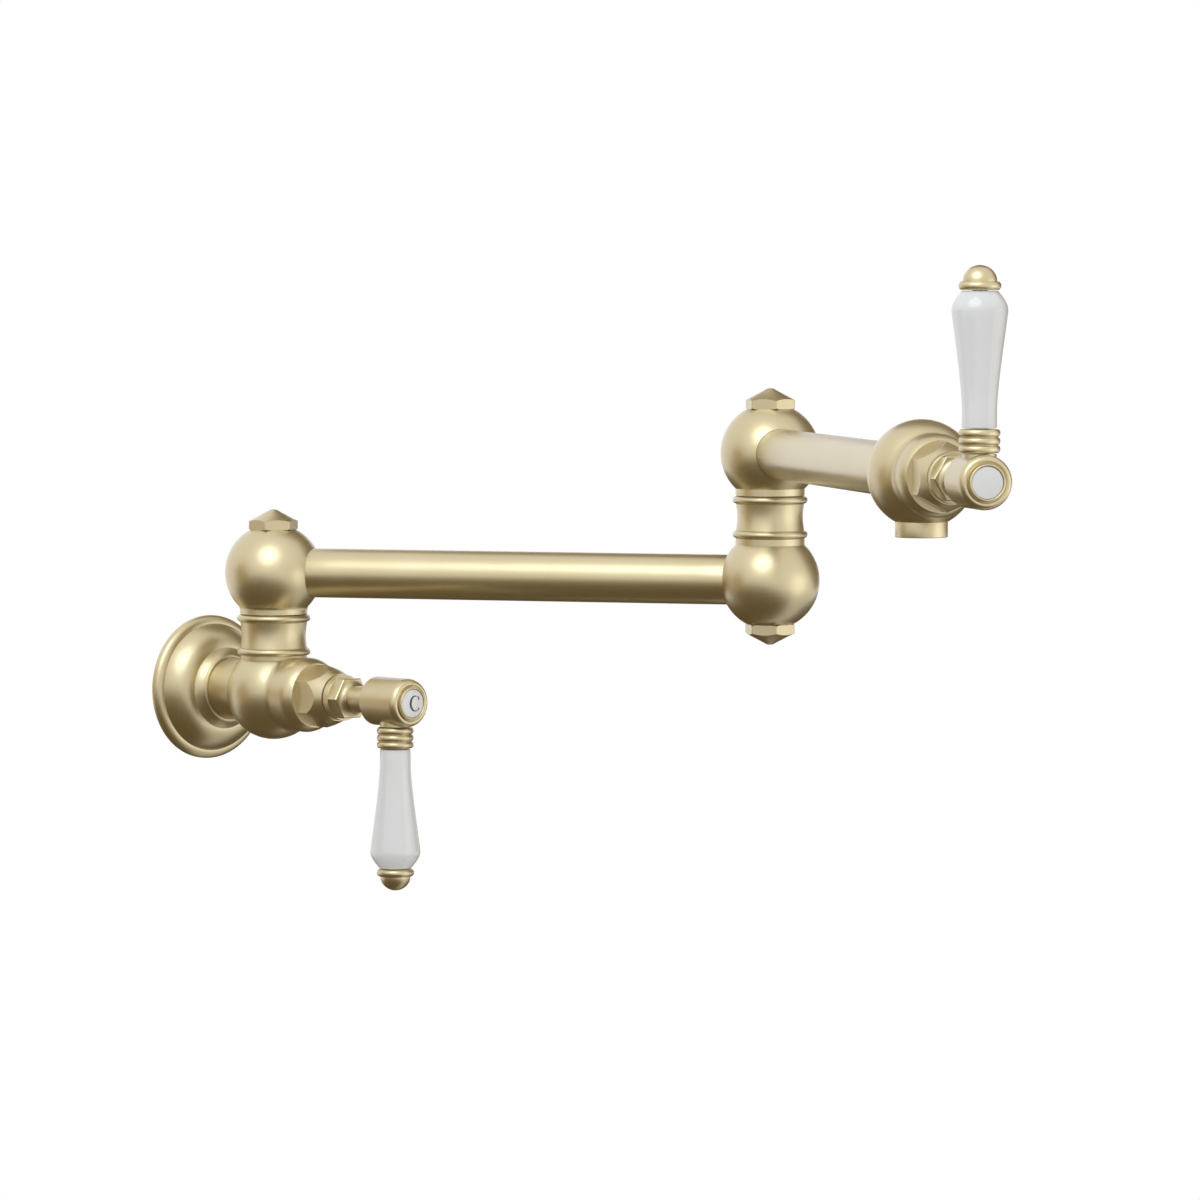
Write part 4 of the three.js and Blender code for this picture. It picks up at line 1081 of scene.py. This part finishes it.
class POTFILLER_OT_hubs(bpy.types.Operator):
    """Turns the stems and hubs, with their index rings and porcelain buttons"""

    bl_idname = "pot_filler.hubs"
    bl_label = "Hubs and indexes"

    def execute(self, context):
        b = sizes("balls")
        v = sizes("valves")
        h = sizes("hubs")
        neck_end = h.back - b.seam
        core_end = h.back + h.core_depth
        stem = turned("stem", [
            (0, -h.core_start),
            (h.core, -h.core_start),
            (h.core, h.neck_start),
            (v.stem, h.neck_start),
            (v.stem, neck_end),
            (h.core, neck_end),
            (h.core, core_end),
            (0, core_end),
        ], 96)
        softened(stem, 0.1)
        roll_at = h.back + h.straight
        face = roll_at + h.roll
        ring_outer = h.index + h.ring_gap + h.ring_wall
        recess = ring_outer + h.ring_gap
        pocket = h.back + h.pocket
        crest = h.radius - h.roll_width
        hub = turned("hub", loop([
            (v.stem_hole, h.back),
            (h.radius - 0.25, h.back),
            (h.radius, h.back + 0.25),
            *arc(crest, roll_at, h.roll_width, h.roll, 0, 90, 16),
            *curve((crest, face), (crest - 0.5, face), (recess + 0.5, face - h.groove),
                   (recess, face - h.groove), 6)[1:],
            (recess, pocket),
            (recess - h.screw_wall, pocket),
            (recess - h.screw_wall, core_end),
            (v.stem_hole, core_end),
        ]), 128)
        outward = lifted(h.back + h.lever) @ FORWARD
        rod = sizes("levers").rod_bore
        stub = turned("stub", loop([(h.stub, recess), (h.stub, h.radius), (rod, h.radius), (rod, recess)]), 96)
        combined(hub, moved(stub, outward), "UNION")
        combined(hub, moved(bar("rod_hole", rod, recess + 0.04, 2 * h.radius, 48), outward), "DIFFERENCE")
        smoothed(hub, 30)
        start = pocket + b.seam
        rim = start + h.index_depth
        half_wall = h.ring_wall / 2
        ring = turned("index_ring", loop([
            (h.index + h.ring_gap, start),
            (ring_outer, start),
            *arc(ring_outer - half_wall, rim + h.ring_proud - half_wall, half_wall, half_wall, 0, 180, 8),
        ]), 112)
        smoothed(ring, 50)
        sphere = (h.index ** 2 + h.crown ** 2) / (2 * h.crown)
        edge = 0.3
        open_angle = math.degrees(math.asin((h.index - edge) / sphere))
        button = turned("index_button", [
            (0, start),
            (h.index, start),
            (h.index, rim - edge),
            *arc(h.index - edge, rim - edge, edge, 1.1 * edge, 10, 80, 5),
            *arc(0, rim + h.crown - sphere, sphere, sphere, 90 - open_angle, 90, 16),
        ], 112)
        smoothed(button, 60)
        for prefix, place, _, body, turn in VALVES:
            spot = STATIONS[place] @ Matrix.Rotation(turn, 4, "Z")
            for blank, name, material, slot, node_name in (
                (stem, "stem_neck", satin_brass(place), "satin_brass", "stem"),
                (hub, "lever_hub", satin_brass(place), "satin_brass", "hub"),
                (ring, "index_rim", satin_brass(place), "satin_brass", "index_ring"),
                (button, "index_button", porcelain(), "porcelain", "index"),
            ):
                piece = moved(copied(blank, f"{prefix}_{name}"), spot)
                finished(piece, body, material, slot, f"{prefix}_{node_name}")
        for blank in (stem, hub, ring, button):
            bpy.data.objects.remove(blank)
        return {"FINISHED"}


class POTFILLER_OT_letter(bpy.types.Operator):
    """Draws the plain capital that marks the cold index, as a crescent with two small serifs"""

    bl_idname = "pot_filler.letter"
    bl_label = "Cold mark"

    def execute(self, context):
        h = sizes("hubs")
        top = h.back + h.pocket + sizes("balls").seam + h.index_depth + h.crown
        low, high = top - 0.3, top + 0.02

        def oval(name, wide, tall, aside, deep=0.0):
            bpy.ops.object.select_all(action="DESELECT")
            bpy.ops.mesh.primitive_cylinder_add(vertices=96, radius=MM, depth=(high - low + deep) * MM,
                                                location=(aside * MM, 0, (low + high) / 2 * MM))
            piece = bpy.context.object
            piece.scale = (wide, tall, 1)
            piece.name = piece.data.name = name
            only(piece)
            bpy.ops.object.transform_apply(location=True, rotation=True, scale=True)
            return piece

        def block(x0, x1, y0, y1, deep=0.0):
            bpy.ops.object.select_all(action="DESELECT")
            bpy.ops.mesh.primitive_cube_add(size=MM, location=((x0 + x1) / 2 * MM, (y0 + y1) / 2 * MM,
                                                               (low + high) / 2 * MM))
            piece = bpy.context.object
            piece.scale = (x1 - x0, y1 - y0, high - low + deep)
            only(piece)
            bpy.ops.object.transform_apply(location=True, rotation=True, scale=True)
            return piece

        letter = oval("cold_letter", 3.1, 3.5, 0.95)
        combined(letter, oval("hole", 2.5, 3.15, 1.5, 1.0), "DIFFERENCE")
        combined(letter, block(3.3, 6.0, -3.0, 3.0, 1.0), "DIFFERENCE")
        combined(letter, block(3.05, 3.4, 1.4, 2.85), "UNION")
        combined(letter, block(3.05, 3.4, -2.75, -2.0), "UNION")
        moved(smoothed(letter, 30), STATIONS["wall_valve"])
        finished(letter, "wall_lever", fired_ink(), "porcelain")
        return {"FINISHED"}


class POTFILLER_OT_levers(bpy.types.Operator):
    """Turns the beaded collars, porcelain grips and finials of both levers"""

    bl_idname = "pot_filler.levers"
    bl_label = "Levers"

    def execute(self, context):
        b = sizes("balls")
        h = sizes("hubs")
        s = sizes("levers")
        half = s.pitch / 2
        # A bead is a little lower than its pitch, which leaves a narrow groove between two.
        bead = 0.94 * half
        beads = [point for i in range(s.beads)
                 for point in arc(s.groove, (2 * i + 1) * half, s.proud, bead, -90, 90, 14)]
        collar_length = s.beads * s.pitch
        collar = turned("collar", loop([(s.rod_bore, 0.05), *beads, (s.rod_bore, collar_length - 0.05)]), 96)
        smoothed(collar, 55)

        belly = s.neck_length + s.swell
        grip_length = belly + s.turn
        grip = turned("grip", loop([
            (s.rod_bore, 0),
            (s.neck - 0.5, 0),
            *arc(s.neck - 0.5, 0.5, 0.5, 0.5, -90, 0, 5)[1:],
            *curve((s.neck, s.neck_length), (s.neck, s.neck_length + 10.3),
                   (s.belly, belly - 2.4), (s.belly, belly), 40),
            *curve((s.belly, belly), (s.belly, belly + 2.7),
                   (s.end + 1.9, grip_length - 2.3), (s.end, grip_length), 20)[1:],
            (s.rod_bore, grip_length),
        ]), 112)
        smoothed(grip, 60)

        foot, rod_depth = 6.9, 5.6
        middle = s.bead / 2
        finial = turned("finial", [
            (0, rod_depth),
            (s.rod_bore, rod_depth),
            (s.rod_bore, 0),
            *arc(foot, middle, s.bead_radius - foot, middle, -90, 90, 16),
            *arc(0, s.bead, s.dome_radius, s.dome, 0, 90, 22),
        ], 112)
        smoothed(finial, 55)

        outward = lifted(h.back + h.lever) @ FORWARD
        collar_at = h.radius + b.seam
        grip_at = collar_at + collar_length + b.seam
        finial_at = grip_at + grip_length + b.seam
        for prefix, place, _, body, turn in VALVES:
            arm = STATIONS[place] @ Matrix.Rotation(turn, 4, "Z") @ outward
            line = f"{prefix}_lever"
            STATIONS[line] = arm
            for blank, name, at, material, slot, node_name in (
                (collar, "beaded_collar", collar_at, satin_brass(line), "satin_brass", "lever_collar"),
                (grip, "porcelain_grip", grip_at, porcelain(), "porcelain", "lever_grip"),
                (finial, "acorn_finial", finial_at, satin_brass(line), "satin_brass", "lever_finial"),
            ):
                piece = moved(copied(blank, f"{prefix}_{name}"), arm @ lifted(at))
                finished(piece, body, material, slot, f"{prefix}_{node_name}")
        for blank in (collar, grip, finial):
            bpy.data.objects.remove(blank)
        return {"FINISHED"}


class POTFILLER_OT_outlet(bpy.types.Operator):
    """Turns the outlet collar and drills the flow straightener"""

    bl_idname = "pot_filler.outlet"
    bl_label = "Outlet"

    def execute(self, context):
        b = sizes("balls")
        o = sizes("outlet")
        stub = o.seat - o.thread
        bottom = o.seat + o.drop
        ledge, ledge_foot = o.bore - 1, -stub - 1
        collar = turned("outlet_collar", loop([
            (ledge, -stub),
            (o.bore + 0.9, -stub),
            (o.bore + 0.9, -o.seat),
            (o.radius, -o.seat),
            (o.radius, -bottom),
            (o.bore, -bottom),
            (o.bore, ledge_foot),
            (ledge, ledge_foot),
        ]), 128)
        moved(softened(collar, 0.3), STATIONS["spout"])
        brassed(collar, "outer_arm", "spout", "spout_outlet")

        top = ledge_foot - b.seam
        plate = bar("straightener_plate", o.bore - b.seam, top - o.plate, top, 96)
        for i in range(7):
            hole = hexagon("cell", o.hole * math.cos(math.pi / 6), top - 2 * o.plate, top + o.plate)
            angle = i * math.pi / 3
            reach = 0 if i == 6 else o.cell_pitch * MM
            moved(hole, Matrix.Translation((reach * math.sin(angle), reach * math.cos(angle), 0)))
            combined(plate, hole, "DIFFERENCE")
        moved(smoothed(plate, 30), STATIONS["spout"])
        finished(plate, "outer_arm", acetal(), "acetal", "flow_straightener")
        return {"FINISHED"}


class POTFILLER_OT_stage(bpy.types.Operator):
    """Sets the pale floor, the soft lamps, the glowing flags that paint shade into the brass's reflections, and
    the camera
    """

    bl_idname = "pot_filler.stage"
    bl_label = "Stage"

    def execute(self, context):
        stage = settings("stage")
        scene = context.scene
        low, high = CAD_BOX
        centre = (Vector(low) + Vector(high)) / 2

        # The photograph was taken from the left of the object, a little above it, with a long lens.
        pitch, swing = math.radians(3.374), math.radians(-43.13)
        back = Vector((math.sin(swing) * math.cos(pitch), -math.cos(swing) * math.cos(pitch), math.sin(pitch)))
        bpy.ops.object.camera_add(location=(-1.73412, -2.11283, 0.20021),
                                  rotation=(math.pi / 2 - pitch, 0, swing))
        camera = context.object
        camera.name = "camera"
        camera.data.lens = 180
        camera.data.sensor_width = 36
        camera.data.clip_start, camera.data.clip_end = 0.1, 50
        scene.camera = camera

        right = Vector((math.cos(swing), math.sin(swing), 0))
        up = right.cross(-back)

        def towards(azimuth, elevation, distance):
            """A point seen from the object, by its angles from the camera's own direction."""
            a, e = math.radians(azimuth), math.radians(elevation)
            way = back * math.cos(a) * math.cos(e) + right * math.sin(a) * math.cos(e) + up * math.sin(e)
            return centre + way * distance

        def lamp(name, place, size, power, tint):
            bpy.ops.object.light_add(type="AREA", location=place)
            light = context.object
            light.name = name
            light.rotation_euler = (place - centre).to_track_quat("Z", "Y").to_euler()
            light.data.shape = "DISK"
            light.data.size = size
            light.data.energy = power
            light.data.color = tint

        lamp("key_lamp", towards(-20, 42, 1.5), 1.1, stage.key, (0.79, 0.91, 1.0))
        lamp("side_lamp", towards(72, -8, 1.5), 1.1, stage.side, (1.0, 0.99, 0.97))

        def flag(name, place, size, light):
            """A card that glows in a dark warm colour and that only reflections see: painted shade, which gives
            the brass its shaded sides.
            """
            shade = bpy.data.materials.new(f"{name}_painted_shade_glow")
            shade.use_nodes = True
            tree = shade.node_tree
            tree.nodes.clear()
            glow = node(tree, "ShaderNodeEmission", {"Color": (*stage.flag, 1), "Strength": light})
            output = node(tree, "ShaderNodeOutputMaterial")
            tree.links.new(glow.outputs["Emission"], output.inputs["Surface"])
            bpy.ops.object.select_all(action="DESELECT")
            bpy.ops.mesh.primitive_circle_add(vertices=48, radius=size, fill_type="NGON", location=place)
            card = context.object
            card.name = card.data.name = name
            card.rotation_euler = (centre - place).to_track_quat("Z", "Y").to_euler()
            card.visible_camera = False
            card.visible_diffuse = False
            card.visible_shadow = False
            card.data.materials.append(shade)

        # These cards glow dimly in the flag colour and cast no shadow. They are painted shade, seen in the brass
        # from below, from behind and from the left.
        flag("flag_low", towards(-50, -68, 0.85), 1.4, 1.0)
        flag("flag_under", towards(178, -46, 1.2), 1.2, 0.8)
        flag("flag_back", towards(132, 20, 1.4), 0.75, 1.3)
        flag("flag_top", towards(166, 46, 1.4), 0.65, 1.5)
        flag("flag_left", towards(-85, -4, 1.4), 0.45, 3.2)

        bpy.ops.object.select_all(action="DESELECT")
        bpy.ops.mesh.primitive_plane_add(size=5.5, location=(centre.x, centre.y, -stage.drop))
        floor = context.object
        floor.name = floor.data.name = "floor"
        paint = bpy.data.materials.new("floor_painted_pale")
        paint.use_nodes = True
        tree = paint.node_tree
        tree.nodes.clear()
        place = node(tree, "ShaderNodeTexCoord").outputs["Object"]
        cloud = node(tree, "ShaderNodeTexNoise", {"Vector": place, "Scale": 1.5, "Detail": 2.0}).outputs["Fac"]
        tone = node(tree, "ShaderNodeMix", {0: cloud, 6: (*stage.floor, 1), 7: (*srgb("#E6E6E4"), 1)},
                    data_type="RGBA").outputs[2]
        matt = node(tree, "ShaderNodeBsdfPrincipled", {"Base Color": tone, "Roughness": 0.8}).outputs["BSDF"]
        seen = self.seen(tree)
        glow = node(tree, "ShaderNodeEmission", {"Color": tone, "Strength": 0.95}).outputs["Emission"]
        half = node(tree, "ShaderNodeMath", {0: seen, 1: 0.6}, operation="MULTIPLY").outputs["Value"]
        mix = node(tree, "ShaderNodeMixShader", {0: half, 1: matt, 2: glow}).outputs["Shader"]
        output = node(tree, "ShaderNodeOutputMaterial")
        tree.links.new(mix, output.inputs["Surface"])
        floor.data.materials.append(paint)

        world = bpy.data.worlds.new("white_room")
        scene.world = world
        world.use_nodes = True
        tree = world.node_tree
        tree.nodes.clear()
        white = (1, 1, 1, 1)
        room = node(tree, "ShaderNodeBackground", {"Color": white, "Strength": stage.ambient})
        view = node(tree, "ShaderNodeBackground", {"Color": white, "Strength": 1.0})
        mix = node(tree, "ShaderNodeMixShader", {
            0: self.seen(tree), 1: room.outputs["Background"], 2: view.outputs["Background"],
        }).outputs["Shader"]
        output = node(tree, "ShaderNodeOutputWorld")
        tree.links.new(mix, output.inputs["Surface"])

        scene.view_settings.view_transform = "Standard"
        return {"FINISHED"}

    @staticmethod
    def seen(tree):
        """1 where a ray is seen, straight, in a reflection or through glass."""
        path = node(tree, "ShaderNodeLightPath").outputs
        either = node(tree, "ShaderNodeMath", {0: path["Is Camera Ray"], 1: path["Is Glossy Ray"]},
                      operation="MAXIMUM").outputs["Value"]
        return node(tree, "ShaderNodeMath", {0: either, 1: path["Is Transmission Ray"]},
                    operation="MAXIMUM").outputs["Value"]


class POTFILLER_PT_sidebar(bpy.types.Panel):
    """Lists the pieces and their sizes"""

    bl_idname = "POTFILLER_PT_sidebar"
    bl_label = "Pot filler"
    bl_space_type = "VIEW_3D"
    bl_region_type = "UI"
    bl_category = "Pot filler"

    def draw(self, context):
        for operator in OPERATORS:
            self.layout.operator(operator.bl_idname)
        for group, kind in GROUPS.items():
            box = self.layout.box()
            box.label(text=group.capitalize())
            for key in kind.__annotations__:
                box.prop(settings(group), key)


OPERATORS = (
    POTFILLER_OT_inside,
    POTFILLER_OT_flange,
    POTFILLER_OT_bodies,
    POTFILLER_OT_balls,
    POTFILLER_OT_tubes,
    POTFILLER_OT_caps,
    POTFILLER_OT_sleeves,
    POTFILLER_OT_bonnets,
    POTFILLER_OT_hubs,
    POTFILLER_OT_letter,
    POTFILLER_OT_levers,
    POTFILLER_OT_outlet,
    POTFILLER_OT_stage,
)
CLASSES = (*GROUPS.values(), *OPERATORS, POTFILLER_PT_sidebar)


def register():
    for item in CLASSES:
        bpy.utils.register_class(item)
    for group, kind in GROUPS.items():
        setattr(bpy.types.Scene, f"pot_filler_{group}", PointerProperty(type=kind))


def unregister():
    for group in GROUPS:
        delattr(bpy.types.Scene, f"pot_filler_{group}")
    for item in reversed(CLASSES):
        bpy.utils.unregister_class(item)


def main():
    register()
    bpy.ops.pot_filler.inside()
    bpy.ops.pot_filler.flange()
    bpy.ops.pot_filler.bodies()
    bpy.ops.pot_filler.balls()
    bpy.ops.pot_filler.tubes()
    bpy.ops.pot_filler.caps()
    bpy.ops.pot_filler.sleeves()
    bpy.ops.pot_filler.bonnets()
    bpy.ops.pot_filler.hubs()
    bpy.ops.pot_filler.letter()
    bpy.ops.pot_filler.levers()
    bpy.ops.pot_filler.outlet()
    bpy.ops.pot_filler.stage()


if __name__ == "__main__":
    main()
